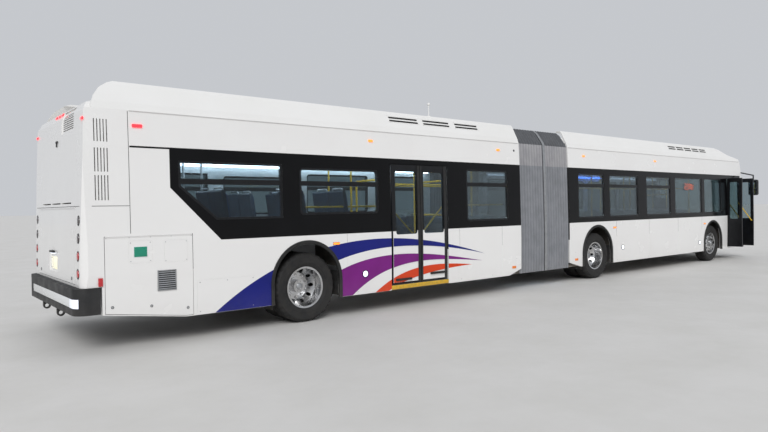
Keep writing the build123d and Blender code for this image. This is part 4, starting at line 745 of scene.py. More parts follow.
# A band between its two edges over stretches of the side, kept clear of the wheel arch
def stripeFilm(stripe, side, stretches, low, stand):
    rows = 7
    edges = {}
    for edge in ("upper", "lower"):
        points = [Vector((x, 0, z)) for x, z in stripe[edge]]
        edges[edge] = geometry.interpolate_bezier(*points, 90)
    bm = bmesh.new()
    for start, end, reach in stretches:
        count = max(2, round((end - start) / 0.02))
        previous = None
        for i in range(count + 1):
            x = start + (end - start) * i / count
            top = edgeHeight(edges["upper"], x) or low
            bottom = max(low, edgeHeight(edges["lower"], x) or low)
            if reach:
                bottom = max(bottom, reach + archLift + math.sqrt(max(0, reach ** 2 - (x - rearAxleX) ** 2)))
            top = max(top, bottom)
            column = [bm.verts.new((x, 0, bottom + (top - bottom) * k / rows)) for k in range(rows + 1)]
            if previous:
                for k in range(rows):
                    if top - bottom > 0.001 or previous[-1].co.z - previous[0].co.z > 0.001:
                        bm.faces.new((previous[k], column[k], column[k + 1], previous[k + 1]))
            previous = column
    bmesh.ops.delete(bm, geom=[vert for vert in bm.verts if not vert.link_faces], context="VERTS")
    bmesh.ops.remove_doubles(bm, verts=bm.verts, dist=0.0002)
    for vert in bm.verts:
        vert.co.y = wallY(side, vert.co.z, stand)
    bmesh.ops.recalc_face_normals(bm, faces=bm.faces)
    if bm.faces and sum(face.normal.y for face in bm.faces) * side < 0:
        bmesh.ops.reverse_faces(bm, faces=bm.faces)
    bmesh.ops.solidify(bm, geom=bm.faces[:], thickness=filmThickness)
    return bm


doorEdges = {"sealed": 0.064, "hinged": 0.012, "meeting": 0.045}


def sweepingBands():
    door = doors["rear"]
    middle = (door["low"] + door["high"]) / 2
    for colour, stripe in stripes.items():
        for side, sideName in bothSides:
            start, end = stripe["upper"][0][0], stripe["upper"][-1][0]
            reach = archRadius["rear"] + 0.004
            before, after = rearAxleX - reach, rearAxleX + reach
            stretches = [(max(start, before), after, reach), (after, end, 0)]
            if start < before:
                stretches.insert(0, (start, before, 0))
            if side < 0:
                stretches[-1] = (after, door["low"], 0)
                stretches.append((door["high"], end, 0))
            stretches = [(max(first, start), last, arch) for first, last, arch in stretches if last > start]
            film = stripeFilm(stripe, side, stretches, skirtZ + 0.002, filmStand)
            placePiece(f"{colour}Band_{sideName}", film, [stripe["finish"]], "rear_section")
        leaves = {
            "rear": (door["low"] + jambGap + doorEdges["hinged"], middle - doorEdges["meeting"] - 0.020),
            "front": (middle + doorEdges["meeting"], door["high"] - jambGap - doorEdges["sealed"])}
        for place, (first, last) in leaves.items():
            film = stripeFilm(stripe, -1, [(first, last, 0)], door["bottom"] + 0.032, 0.0040)
            placePiece(f"{colour}Band_{place}Leaf", film, [stripe["finish"]], f"rear_door_{place}_leaf")


sweepingBands()
print("sweeping bands ready")


# Rear door: white lower panels, black seals, pulls and the yellow sill
# From the doorway's middle or the leaf's edge to each seal's far side, then the seals' own gaps and depths
doorSeal = {"rear": 0.064, "front": 0.043, "jamb": 0.062, "gap": 0.006, "end": 0.004, "proud": 0.0048,
            "deep": 0.006}
doorPanel = {"hinged": 0.010, "above": 0.030, "stand": 0.0010, "thickness": 0.0024}


def rearDoorTrim():
    door = doors["rear"]
    middle = (door["low"] + door["high"]) / 2
    leaves = {
        "rear": (door["low"] + jambGap + doorPanel["hinged"], middle - doorSeal["rear"]),
        "front": (middle + doorSeal["front"], door["high"] - jambGap - doorSeal["jamb"])}
    for place, (first, last) in leaves.items():
        body = f"rear_door_{place}_leaf"
        film = skinFilm(body, -1,
                        between(0, first, last) + between(2, door["bottom"] + doorPanel["above"], waistZ),
                        stand=doorPanel["stand"], thickness=doorPanel["thickness"], depth=0.012)
        placePiece(f"rearDoorPanel_{place}", film, [bodyPaint], body)
    seals = {  # x from, x to, body
        "meetingRear": (middle - doorSeal["rear"], middle - doorSeal["gap"], "rear_door_rear_leaf"),
        "meetingFront": (middle + doorSeal["gap"], middle + doorSeal["front"], "rear_door_front_leaf"),
        "jamb": (door["high"] - jambGap - doorSeal["jamb"], door["high"] - jambGap - doorSeal["end"],
                 "rear_door_front_leaf"),
    }
    for sealName, (first, last, body) in seals.items():
        bm = bmesh.new()
        levels = (door["bottom"] + doorSeal["end"], 0.9, waistZ, door["top"] - doorSeal["end"])
        for low, high in zip(levels, levels[1:]):
            for vert in addBlock(bm, (first, -1.25, low), (last, -1.31, high)):
                outer = vert.co.y < -1.28
                vert.co.y = wallY(-1, vert.co.z, doorSeal["proud"] if outer else -doorSeal["deep"])
        bmesh.ops.remove_doubles(bm, verts=bm.verts, dist=0.0001)
        placePiece(f"rearDoorSeal_{sealName}", bm, [sealRubber], body)
    pulls = {"rear": (door["low"] + 0.085, door["low"] + 0.42, 0.470),
             "front": (door["high"] - 0.43, door["high"] - 0.09, 0.520)}
    for place, (first, last, height) in pulls.items():
        bm = bmesh.new()
        addBlock(bm, (first, -1.280, height - 0.018), (last, -1.313, height + 0.018), bevel=0.006)
        placePiece(f"rearDoorPull_{place}", bm, [sealRubber], f"rear_door_{place}_leaf")
    bm = bmesh.new()
    addBlock(bm, (door["low"] + 0.004, -1.225, door["top"] - 0.012),
             (door["high"] - 0.004, -1.245, door["top"] + 0.03))
    placePiece("rearDoorBrush", bm, [sealRubber], "rear_section")
    bm = bmesh.new()
    addBlock(bm, (door["low"], -1.27, 0.318), (door["high"], -1.292, 0.384), bevel=0.004)
    for i in range(3):
        addBlock(bm, (door["low"] + 0.01, -1.27, 0.332 + 0.016 * i),
                 (door["high"] - 0.01, -1.294, 0.338 + 0.016 * i))
    placePiece("rearDoorSill", bm, [treadYellow], "rear_section")


rearDoorTrim()
print("rear door ready")


# Rubber lips round the wheel arches: how far they reach in and out of the edge, stand off and turn back
archLip = {"inward": 0.034, "outward": 0.018, "proud": 0.011, "depth": 0.034, "round": 0.007}


def archLips():
    arches = {"front": (frontAxleX, archRadius["front"], "front_section"),
              "middle": (middleAxleX, archRadius["middle"], "front_section"),
              "rear": (rearAxleX, archRadius["rear"], "rear_section")}
    for place, (x, radius, body) in arches.items():
        for side, sideName in bothSides:
            outer = wallY(side, 0.9, archLip["proud"])
            inner = wallY(side, 0.9, -archLip["depth"])
            inside, outside, turn = radius - archLip["inward"], radius + archLip["outward"], archLip["round"]
            seat = wallY(side, 0.9, -0.002)
            corners = [(inside, inner), (inside, outer - side * turn),
                       (inside + 0.4 * turn, outer - side * 0.3 * turn), (inside + turn, outer),
                       (outside - turn, outer), (outside, outer - side * turn), (outside, seat),
                       (radius - 0.004, seat), (radius - 0.004, inner)]
            middleZ = radius + archLift
            steps = 44
            rings = []
            path = [(-1, 0, skirtZ - 0.002 - middleZ)] + [
                (-math.cos(math.pi * i / steps), math.sin(math.pi * i / steps), 0) for i in range(steps + 1)]
            path.append((1, 0, skirtZ - 0.002 - middleZ))
            bm = bmesh.new()
            for ahead, rise, drop in path:
                rings.append([bm.verts.new((x + reach * ahead, y, middleZ + reach * rise + drop))
                              for reach, y in corners])
            stitchRings(bm, rings)
            bm.faces.new(rings[0])
            bm.faces.new(rings[-1])
            placePiece(f"{place}ArchLip_{sideName}", bm, [sealRubber], body)


archLips()
print("arch lips ready")


# Rubber flaps ahead of and behind the twin wheels
mudFlap = {"reach": 0.550, "thickness": 0.006, "inner": 0.640, "outer": 1.245, "lowBehind": 0.235,
           "lowAhead": 0.335, "high": 0.700}


def mudFlaps():
    for place, x, body in (("middle", middleAxleX, "front_section"), ("rear", rearAxleX, "rear_section")):
        bm = bmesh.new()
        for side in (-1, 1):
            for way in (-1, 1):
                near = x + way * mudFlap["reach"]
                low = mudFlap["lowBehind" if way < 0 else "lowAhead"]
                addBlock(bm, (near, side * mudFlap["inner"], low),
                         (near + way * mudFlap["thickness"], side * mudFlap["outer"], mudFlap["high"]),
                         bevel=0.002)
        placePiece(f"{place}MudFlaps", bm, [sealRubber], body)


mudFlaps()
print("mud flaps ready")


# One pleated cloth from section to section, through the centre hoop
bellows = {"folds": 9, "depth": 0.042, "inset": 0.012, "low": 0.320, "top": 3.150, "hoopHalf": 0.035,
           "thickness": 0.004, "paleFrom": 2.36, "hoodFrom": 2.84}


# Half of the cloth's section at a depth below its outer face, as (half width, height)
def clothSection(depth):
    inset = bellows["inset"] + depth
    half = [(width - inset, height) for height, width in sideLine]
    half[0] = (half[0][0], bellows["low"])
    crown = sideLine[-1][1] - 0.148
    extra = [(half[-1][0] - 0.025, corniceZ + 0.060),
             (crown - 0.020 - 0.6 * depth, bellows["top"] - 0.070 - depth),
             (crown - 0.110 - 0.6 * depth, bellows["top"] - depth)]
    return half + extra


def pleatedCloth():
    pivotX = (frontBodyStart + rearBodyEnd) / 2
    stations = []
    for start, end in ((rearBodyEnd, pivotX - bellows["hoopHalf"]),
                       (pivotX + bellows["hoopHalf"], frontBodyStart)):
        count = bellows["folds"] * 8
        for i in range(count + 1):
            swing = 0.5 + 0.5 * math.cos(math.pi * i / 4)
            stations.append((start + (end - start) * i / count, bellows["depth"] * swing ** 3))
    bm = bmesh.new()
    previous = None
    for x, depth in stations:
        half = clothSection(depth)
        ring = half[::-1]
        outline = [(-y, z) for y, z in half] + [(y, z) for y, z in ring]
        fine = []
        for (y0, z0), (y1, z1) in zip(outline, outline[1:]):
            cuts = max(1, round(math.hypot(y1 - y0, z1 - z0) / 0.25))
            fine += [(y0 + (y1 - y0) * k / cuts, z0 + (z1 - z0) * k / cuts) for k in range(cuts)]
        fine.append(outline[-1])
        verts = [bm.verts.new((x, y, z)) for y, z in fine]
        edges = [bm.edges.new(pair) for pair in zip(verts, verts[1:])]
        if previous:
            bmesh.ops.bridge_loops(bm, edges=previous + edges)
        previous = edges
    bmesh.ops.recalc_face_normals(bm, faces=bm.faces)
    top = max(bm.faces, key=lambda face: face.calc_center_median().z)
    if top.normal.z < 0:
        bmesh.ops.reverse_faces(bm, faces=bm.faces)
    for face in bm.faces:
        height = face.calc_center_median().z
        if height > bellows["hoodFrom"]:
            face.material_index = 2
        elif height > bellows["paleFrom"]:
            face.material_index = 1
    bmesh.ops.solidify(bm, geom=bm.faces[:], thickness=bellows["thickness"])
    piece = makeObject("pleatedBellows", bm, (bellowsGrey, bellowsPale, bellowsHood), 50)
    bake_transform(piece)
    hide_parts("front_bellows", "rear_bellows")


pleatedCloth()
print("bellows ready")


# Seat pads: crowned cushions with two sewn channels
seatPads = {"width": 0.372, "thickness": 0.034, "crown": 0.010, "channel": 0.005, "pinch": 0.007,
            "middles": (0.566, 0.994), "above": 0.430}


# Adds one pad: origin at its middle, with directions along its length, across it and out of it
def addPad(bm, middle, alongWay, acrossWay, length, width):
    cuts = 12
    part = bmesh.new()
    bmesh.ops.create_cube(part, size=1.0)
    bmesh.ops.bevel(part, geom=part.edges[:], offset=0.09, segments=3, profile=0.5, affect="EDGES",
                    material=-1)
    for axis in (0, 1):
        for i in range(1, cuts):
            place = [0, 0, 0]
            place[axis] = -0.5 + i / cuts
            way = [0, 0, 0]
            way[axis] = 1
            bmesh.ops.bisect_plane(part, geom=part.verts[:] + part.edges[:] + part.faces[:], dist=0.0001,
                                   plane_co=place, plane_no=way)
    for vert in part.verts:
        u, v, w = vert.co * 2
        bulge = (1 - u * u) * (1 - v * v)
        channel = sum(math.exp(-((u - line) / 0.09) ** 2) for line in (-0.34, 0.34))
        rise = w * seatPads["thickness"] / 2
        if w > 0:
            rise += seatPads["crown"] * bulge - seatPads["channel"] * channel * max(0, 1 - abs(v)) ** 0.3
        vert.co = Vector((u * (length / 2 - seatPads["pinch"] * (1 - v * v)),
                          v * (width / 2 - seatPads["pinch"] * (1 - u * u)), rise))
    outWay = Vector(alongWay).cross(Vector(acrossWay)).normalized()
    turn = Matrix((Vector(alongWay).normalized(), Vector(acrossWay).normalized(),
                   outWay)).transposed().to_4x4()
    joinPart(bm, part, Matrix.Translation(middle) @ turn)


# Rows as in the built seats: x of the back's rear, side, floor height
seatRows = {
    "front": [(frontAxleX - 1.435 - 0.750 * i, side, 0.380) for i in range(5) for side in (-1, 1)],
    "rear": [(rearBodyEnd - 0.735, -1, 0.380), (rearBodyEnd - 1.485, -1, 0.380),
             (rearBodyEnd - 0.735, 1, 0.380), (rearBodyEnd - 1.485, 1, 0.380),
             (rearAxleX + 2.590, 1, 0.380), (rearAxleX + 1.840, 1, 0.380)]
            + [(rearAxleX + x, side, 0.830) for x in (0.690, -0.060, -1.260, -1.900) for side in (-1, 1)],
}


def seatCushions():
    for section, rows in seatRows.items():
        bm = bmesh.new()
        for x, side, floor in rows:
            top = floor + seatPads["above"]
            for y in (side * middle for middle in seatPads["middles"]):
                addPad(bm, (x + 0.362, y, top + 0.025), (1, 0, 0.07), (0, 1, 0), 0.300, seatPads["width"])
                lean = Vector((-0.078, 0, 0.550))
                addPad(bm, (x + 0.112, y, top + 0.350), lean, (0, -1, 0), 0.500, seatPads["width"])
        if section == "front":
            driver = Vector((frontAxleX + 0.865, 0.640, 1.020))
            addPad(bm, driver + Vector((0.360, 0, 0.032)), (1, 0, 0.02), (0, 1, 0), 0.34, 0.44)
            addPad(bm, driver + Vector((0.125, 0, 0.400)), (-0.07, 0, 0.66), (0, -1, 0), 0.62, 0.44)
        piece = placePiece(f"{section}SeatPads", bm, [moquette], f"{section}_section",
                           smooth=60)


seatCushions()
print("seat pads ready")


# Ceiling lights along both coves
ceilingLight = {"length": 1.15, "pitch": 1.25, "width": 0.110, "depth": 0.020}


def ceilingLights():
    slant = Vector((0, -0.335, -0.260)).normalized()      # out of the cove's slanted face, on the left side
    for section, first, last in (("front", frontBodyStart + 0.3, frontCapX - 0.3),
                                 ("rear", rearAxleX - 1.8, rearBodyEnd - 0.2)):
        bm = bmesh.new()
        count = int((last - first) / ceilingLight["pitch"])
        for side in (-1, 1):
            out = Vector((0, slant.y * side, slant.z))
            for i in range(count):
                x = first + (i + 0.5) * ceilingLight["pitch"]
                part = bmesh.new()
                addBlock(part, (-ceilingLight["length"] / 2, -ceilingLight["width"] / 2, 0),
                         (ceilingLight["length"] / 2, ceilingLight["width"] / 2, ceilingLight["depth"]),
                         bevel=0.009)
                acrossWay = Vector((1, 0, 0)).cross(out) * -1
                turn = Matrix((Vector((1, 0, 0)), acrossWay, out)).transposed().to_4x4()
                joinPart(bm, part, Matrix.Translation((x, side * 1.020, 2.5725)) @ turn)
        finish = lightDiffuser if section == "rear" else lightSoft
        placePiece(f"{section}CeilingLights", bm, [finish], f"{section}_section")


ceilingLights()
print("ceiling lights ready")


# Lit strips under the lower edge of each ceiling cove. Columns: section, x from, x to, finish
edgeLights = [
    ("rear", rearAxleX - 1.80, rearBodyEnd - 0.15, lightDiffuser),
    ("front", frontBodyStart + 0.25, frontAxleX - 2.90, lightDim),
    ("front", frontAxleX - 2.85, frontAxleX - 1.60, lightBlue),
    ("front", frontAxleX - 1.55, frontCapX - 0.30, lightDim),
]


def coveStrips():
    for number, (section, first, last, finish) in enumerate(edgeLights):
        bm = bmesh.new()
        for side in (-1, 1):
            addBlock(bm, (first, side * 1.112, 2.368), (last, side * 1.150, 2.402), bevel=0.008)
        placePiece(f"coveStrip_{section}_{number}", bm, [finish], f"{section}_section")


coveStrips()
print("cove strips ready")


# Tyres: raised rings on the flanks, notched shoulders, three zigzag grooves
tyreShape = {"turns": 192, "grooves": (-0.056, 0.0, 0.056), "grooveHalf": 0.0045, "grooveDepth": 0.013,
             "grooveSlope": 0.0025, "swing": 0.006, "notch": 0.006, "notchEvery": 6, "crown": 0.002}
# One flank from bead to shoulder. Columns: distance from the tyre's middle, radius, notched
tyreFlank = [
    (0.100, 0.304, 0), (0.116, 0.308, 0), (0.127, 0.325, 0), (0.1345, 0.350, 0), (0.1375, 0.352, 0),
    (0.1395, 0.364, 0), (0.1380, 0.368, 0), (0.1425, 0.400, 0), (0.1448, 0.425, 0), (0.1430, 0.446, 0),
    (0.1446, 0.450, 0), (0.1432, 0.456, 0), (0.1375, 0.463, 0), (0.1300, 0.476, 1), (0.1160, 0.490, 1),
    (0.1010, 0.4975, 1),
]
# Middles of each axle's tyres, place of the wheel disc's face and of the hub's end, from the bus's middle
wheelSets = {
    "front": {"x": frontAxleX, "tyres": [1.090], "disc": 1.202, "hub": 1.230, "node": "front_tyre",
              "body": "front_wheel"},
    "middle": {"x": middleAxleX, "tyres": [1.095, 0.760], "disc": 0.9425, "hub": 1.0475,
               "node": "middle_tyres",
               "body": "middle_wheels"},
    "rear": {"x": rearAxleX, "tyres": [1.095, 0.760], "disc": 0.9425, "hub": 1.0475, "node": "rear_tyres",
             "body": "rear_wheels"},
}


def addTyre(bm, x, y):
    shape = tyreShape
    rows = [(-across, radius, notched, 0) for across, radius, notched in tyreFlank]
    for groove in shape["grooves"]:
        for step, depth in ((-1, 0), (-1, 1), (1, 1), (1, 0)):
            edge = shape["grooveHalf"] + (0 if depth else shape["grooveSlope"])
            across = groove + step * edge
            top = tyreRadius - shape["crown"] * (across / 0.1) ** 2
            rows.append((across, top - depth * shape["grooveDepth"], 0, 1))
    rows += [(across, radius, notched, 0) for across, radius, notched in tyreFlank[::-1]]
    rings = []
    for k in range(shape["turns"]):
        angle = 2 * math.pi * k / shape["turns"]
        zigzag = abs((k % 8) / 2 - 2) - 1
        ring = []
        for across, radius, notched, grooved in rows:
            cut = shape["notch"] if notched and k % shape["notchEvery"] in (0, 1) else 0
            place = across * (1 - cut / 0.14) + grooved * zigzag * shape["swing"]
            reach = radius - cut
            ring.append(bm.verts.new((x + reach * math.sin(angle), y + place,
                                      axleZ + reach * math.cos(angle))))
        rings.append(ring)
    stitchRings(bm, rings + rings[:1])


def groovedTyres():
    for place, wheels in wheelSets.items():
        for side, sideName in bothSides:
            bm = bmesh.new()
            for y in wheels["tyres"]:
                addTyre(bm, wheels["x"], side * y)
            placePiece(f"{place}GroovedTyres_{sideName}", bm, [tyreRubber], f"{wheels['body']}_{sideName}",
                       smooth=28, stands=[f"{wheels['node']}_{sideName}"])


groovedTyres()
print("tyres ready")


# Nuts on the studs, hub covers with their bolts, and tyre valves
wheelNut = {"circle": 0.1675, "count": 10, "radius": 0.0185, "washer": 0.023, "stud": 0.0105}


def wheelHardware():
    for place, wheels in wheelSets.items():
        for side, sideName in bothSides:
            bm = bmesh.new()
            out = Vector((0, side, 0))
            middle = Vector((wheels["x"], 0, axleZ))

            def at(radius, angle, distance):
                return middle + Vector((radius * math.sin(angle), side * distance, radius * math.cos(angle)))

            face = wheels["disc"]
            for i in range(wheelNut["count"]):
                angle = 2 * math.pi * i / wheelNut["count"]
                spot = wheelNut["circle"]
                addBar(bm, at(spot, angle, face + 0.002), out, wheelNut["washer"], 0.004, sides=16)
                addBar(bm, at(spot, angle, face + 0.015), out, wheelNut["radius"], 0.022, sides=6)
                addBar(bm, at(spot, angle, face + 0.030), out, wheelNut["stud"], 0.012, sides=10,
                       tip=wheelNut["stud"] * 0.8)
            end = wheels["hub"]
            if place == "front":
                addTurned(bm, [(0, -0.001), (0.080, -0.001), (0.080, 0.006), (0.072, 0.012), (0.052, 0.013),
                               (0.048, 0.020), (0.030, 0.024), (0, 0.026)], at(0, 0, end), out, look=1)
            else:
                addTurned(bm, [(0, -0.001), (0.050, -0.001), (0.048, 0.010), (0.036, 0.018), (0, 0.022)],
                          at(0, 0, end), out, look=1)
            for i in range(8):
                angle = 2 * math.pi * (i + 0.5) / 8
                spot, size = (0.064, 0.006) if place == "front" else (0.071, 0.0095)
                rise = 0.014 if place == "front" else 0.004
                addBar(bm, at(spot, angle, end + rise), out, size, 0.009, sides=6)
            addBar(bm, at(0.246, 0.31, face - 0.006), out, 0.0045, 0.050, sides=10)
            placePiece(f"{place}WheelNuts_{sideName}", bm, [chromedSteel, brushedSteel],
                       f"{wheels['body']}_{sideName}")


wheelHardware()
print("wheel nuts ready")


# Rear face: tail lamps, marker lamps, latch, plate with its lamp, bumper strip, ribs and reflectors
tailLamps = {"y": 1.150, "radius": 0.0595, "height": 0.034,
             "rows": [(0.923, 1), (1.127, 1), (1.331, 2), (1.535, 2)]}     # height, finish number
plateShape = {"y": 0.1025, "z": 0.985, "width": 0.310, "height": 0.158}
# White strip along the bumper, and the tape that wraps round its right corner, which glows with a painted
# highlight
bumperTape = {"heights": (0.541, 0.644), "reach": 1.050, "corner": (-1.058, -1.262), "wrap": 0.16,
              "stand": 0.0002}


def rearFaceFittings():
    ahead = Vector((1, 0, 0))
    bm = bmesh.new()
    for side in (-1, 1):
        for height, look in tailLamps["rows"]:
            addLamp(bm, "rear_cap", (behindX, side * tailLamps["y"], height), ahead, tailLamps["radius"],
                    tailLamps["height"], look)
    placePiece("tailLamps", bm, [mouldedAbs, lensRed, lensSmoke], "rear_section")
    bm = bmesh.new()
    for y in (-0.16, 0.0, 0.16):
        addOnSurface(bm, "rear_cap", (behindX, y, 2.865), ahead, (0.105, 0.036, 0.016), 0.007)
    for side, sideName in bothSides:
        addOnSurface(bm, "rear_cap", (behindX, side * 1.235, 2.70), ahead, (0.090, 0.036, 0.016), 0.007)
        addOnSurface(bm, f"rear_wall_{sideName}", (-8.535, side * besideY, 2.65), (0, -side, 0),
                     (0.120, 0.042, 0.016), 0.007)
    placePiece("rearMarkerLamps", bm, [lensRedLit], "rear_section")
    bm = bmesh.new()
    addOnSurface(bm, "rear_cap", (behindX, 0, 2.535), ahead, (0.090, 0.026, 0.014), 0.004)
    addOnSurface(bm, "rear_cap", (behindX, 0, 2.500), ahead, (0.026, 0.055, 0.014), 0.004)
    placePiece("rearHatchLatch", bm, [mouldedAbs], "rear_section")

    bm = bmesh.new()
    y, z, width, height = (plateShape[key] for key in ("y", "z", "width", "height"))
    # The plate glows with painted light from its lamp
    addOnSurface(bm, "engine_door", (behindX, y, z), ahead, (width, height, 0.0045), 0.001)
    for dy in (-0.125, 0.125):
        for dz in (-0.062, 0.062):
            point, out = surfacePoint("engine_door", (behindX, y + dy, z + dz), ahead)
            addTurned(bm, [(0, 0.004), (0.0075, 0.004), (0.0075, 0.006), (0.005, 0.008), (0, 0.0085)],
                      point, out, steps=12, look=1)
    placePiece("rearPlate", bm, [plateWithPaintedLight, chromedSteel], "engine_door")
    bm = bmesh.new()
    addOnSurface(bm, "engine_door", (behindX, y, 1.130), ahead, (0.190, 0.030, 0.034), 0.008)
    addOnSurface(bm, "engine_door", (behindX, y, 1.111), ahead, (0.150, 0.012, 0.026), 0.003, look=1)
    for side in (-1, 1):
        addLamp(bm, "engine_door", (behindX, side * 0.86, 0.855), ahead, 0.020, 0.006, 2)
    placePiece("plateLampAndLatches", bm, [mouldedAbs, lensWhiteLit, brushedSteel], "engine_door")

    low, high = bumperTape["heights"]
    bm = bmesh.new()
    addBlock(bm, (rearBumperX + 0.0005, -bumperTape["reach"], low),
             (rearBumperX + 0.0075, bumperTape["reach"], high), bevel=0.002)
    placePiece("bumperStrip", bm, [whiteTape], "rear_section")
    bm = nodeSkin("rear_bumper", lambda face: face.normal.x <= -0.12
                  and face.calc_center_median().x <= rearBumperX + bumperTape["wrap"],
                  between(2, low, high) + between(1, *bumperTape["corner"]))
    for face in [face for face in bm.faces if face.normal.dot(Vector((-1, -0.4, 0))) < 0.2]:
        bm.faces.remove(face)
    bm.normal_update()
    for vert in bm.verts:
        vert.co += vert.normal * bumperTape["stand"]
    bmesh.ops.solidify(bm, geom=bm.faces[:], thickness=filmThickness)
    placePiece("bumperStripEnd", bm, [tapePaintedGlint], "rear_section")
    bm = bmesh.new()
    for x in (0.012, 0.026, 0.040, 0.054, 0.068):
        addBlock(bm, (rearBumperX + x, -1.150, bumperTopZ - 0.002),
                 (rearBumperX + x + 0.007, 1.150, bumperTopZ + 0.0025), bevel=0.001, segments=1)
    placePiece("bumperStepRibs", bm, [bumperSkin], "rear_section")
    bm = bmesh.new()
    # Red reflectors on the rear corners, glowing faintly with a painted reflection
    for side in (-1, 1):
        addBlock(bm, (-9.012, side * 1.296, 0.776), (-8.962, side * 1.3075, 0.872), bevel=0.003)
    placePiece("rearCornerReflectors", bm, [redTapePaintedGlint], "rear_section")


rearFaceFittings()
print("rear face ready")


# Service doors: grille, blank green plate, latches and screws
serviceFittings = {"grille": (-8.335, -8.105, 0.662, 0.912), "slats": 9, "plate": (-8.530, 1.150),
                   "latches": [(-8.86, 0.52), (-7.96, 0.42), (-8.41, 0.49)]}


def serviceDoorFittings():
    left, right, bottom, top = serviceFittings["grille"]
    for side, sideName in bothSides:
        body = f"service_door_{sideName}"
        face = side * 1.2945
        bm = bmesh.new()
        # The backing behind the slats is near-black: black mesh that also paints the shade between them
        addBlock(bm, (left, face - side * 0.0035, bottom), (right, face + side * 0.003, top), bevel=0.001,
                 look=1)
        for x0, x1 in ((left, left + 0.012), (right - 0.012, right)):
            addBlock(bm, (x0, face, bottom), (x1, face + side * 0.009, top), bevel=0.003)
        for z0, z1 in ((bottom, bottom + 0.012), (top - 0.012, top)):
            addBlock(bm, (left, face, z0), (right, face + side * 0.009, z1), bevel=0.003)
        pitch = (top - bottom - 0.024) / serviceFittings["slats"]
        for i in range(serviceFittings["slats"]):
            low = bottom + 0.012 + pitch * (i + 0.22)
            verts = addBlock(bm, (left + 0.010, face, low),
                             (right - 0.010, face + side * 0.007, low + pitch * 0.5))
            for vert in verts:
                if vert.co.z > low + pitch * 0.3 and abs(vert.co.y) > 1.298:
                    vert.co.y = face + side * 0.003
        placePiece(f"serviceGrille_{sideName}", bm, [hoopAluminium, ventMeshPaintedShade], body)
        bm = bmesh.new()
        for x, z in serviceFittings["latches"]:
            addLamp(bm, body, (x, side * besideY, z), (0, -side, 0), 0.017, 0.005, 1)
        for x in (-8.92, -8.66, -8.41, -8.16, -7.905):
            addScrew(bm, body, (x, side * besideY, 1.325), (0, -side, 0), look=1)
        for x, z in ((-8.645, 1.26), (-8.415, 1.26), (-8.645, 1.04), (-8.415, 1.04), (-8.23, 1.255),
                     (-7.97, 1.255), (-8.23, 1.025), (-7.97, 1.025)):
            addScrew(bm, body, (x, side * besideY, z), (0, -side, 0), radius=0.006, look=1)
        placePiece(f"serviceLatches_{sideName}", bm, [mouldedAbs, brushedSteel], body)
        if side < 0:
            bm = bmesh.new()
            x, z = serviceFittings["plate"]
            addOnSurface(bm, body, (x, side * besideY, z), (0, -side, 0), (0.172, 0.140, 0.0016), 0.0005)
            addOnSurface(bm, body, (x, side * besideY, z), (0, -side, 0), (0.152, 0.120, 0.0022), 0.0005,
                         look=1)
            placePiece("serviceGreenPlate", bm, [whiteTape, signGreen], body)


serviceDoorFittings()
print("service doors ready")


# Engine behind its door: block, head, cover, pulleys with a belt, canister, pipes and feet
engine = {"pulleys": [(0.0, 0.745, 0.105), (0.02, 0.985, 0.070),       # y, z, radius
                      (0.270, 1.105, 0.042), (-0.285, 1.045, 0.078)],
          "face": -8.985, "back": -8.300, "belt": (-9.046, -9.022), "ribs": 7}


# The belt's loop: the outer hull of the pulleys' circles
def beltLoop(circles, extra):
    points = sorted((y + (radius + extra) * math.cos(turn), z + (radius + extra) * math.sin(turn))
                    for y, z, radius in circles for turn in [math.tau * i / 48 for i in range(48)])
    loop = []
    for run in (points, points[::-1]):
        start = len(loop)
        for point in run:
            while len(loop) >= start + 2:
                (y0, z0), (y1, z1) = loop[-2:]
                if (y1 - y0) * (point[1] - z0) - (z1 - z0) * (point[0] - y0) > 1e-9:
                    break
                loop.pop()
            loop.append(point)
        loop.pop()
    return loop


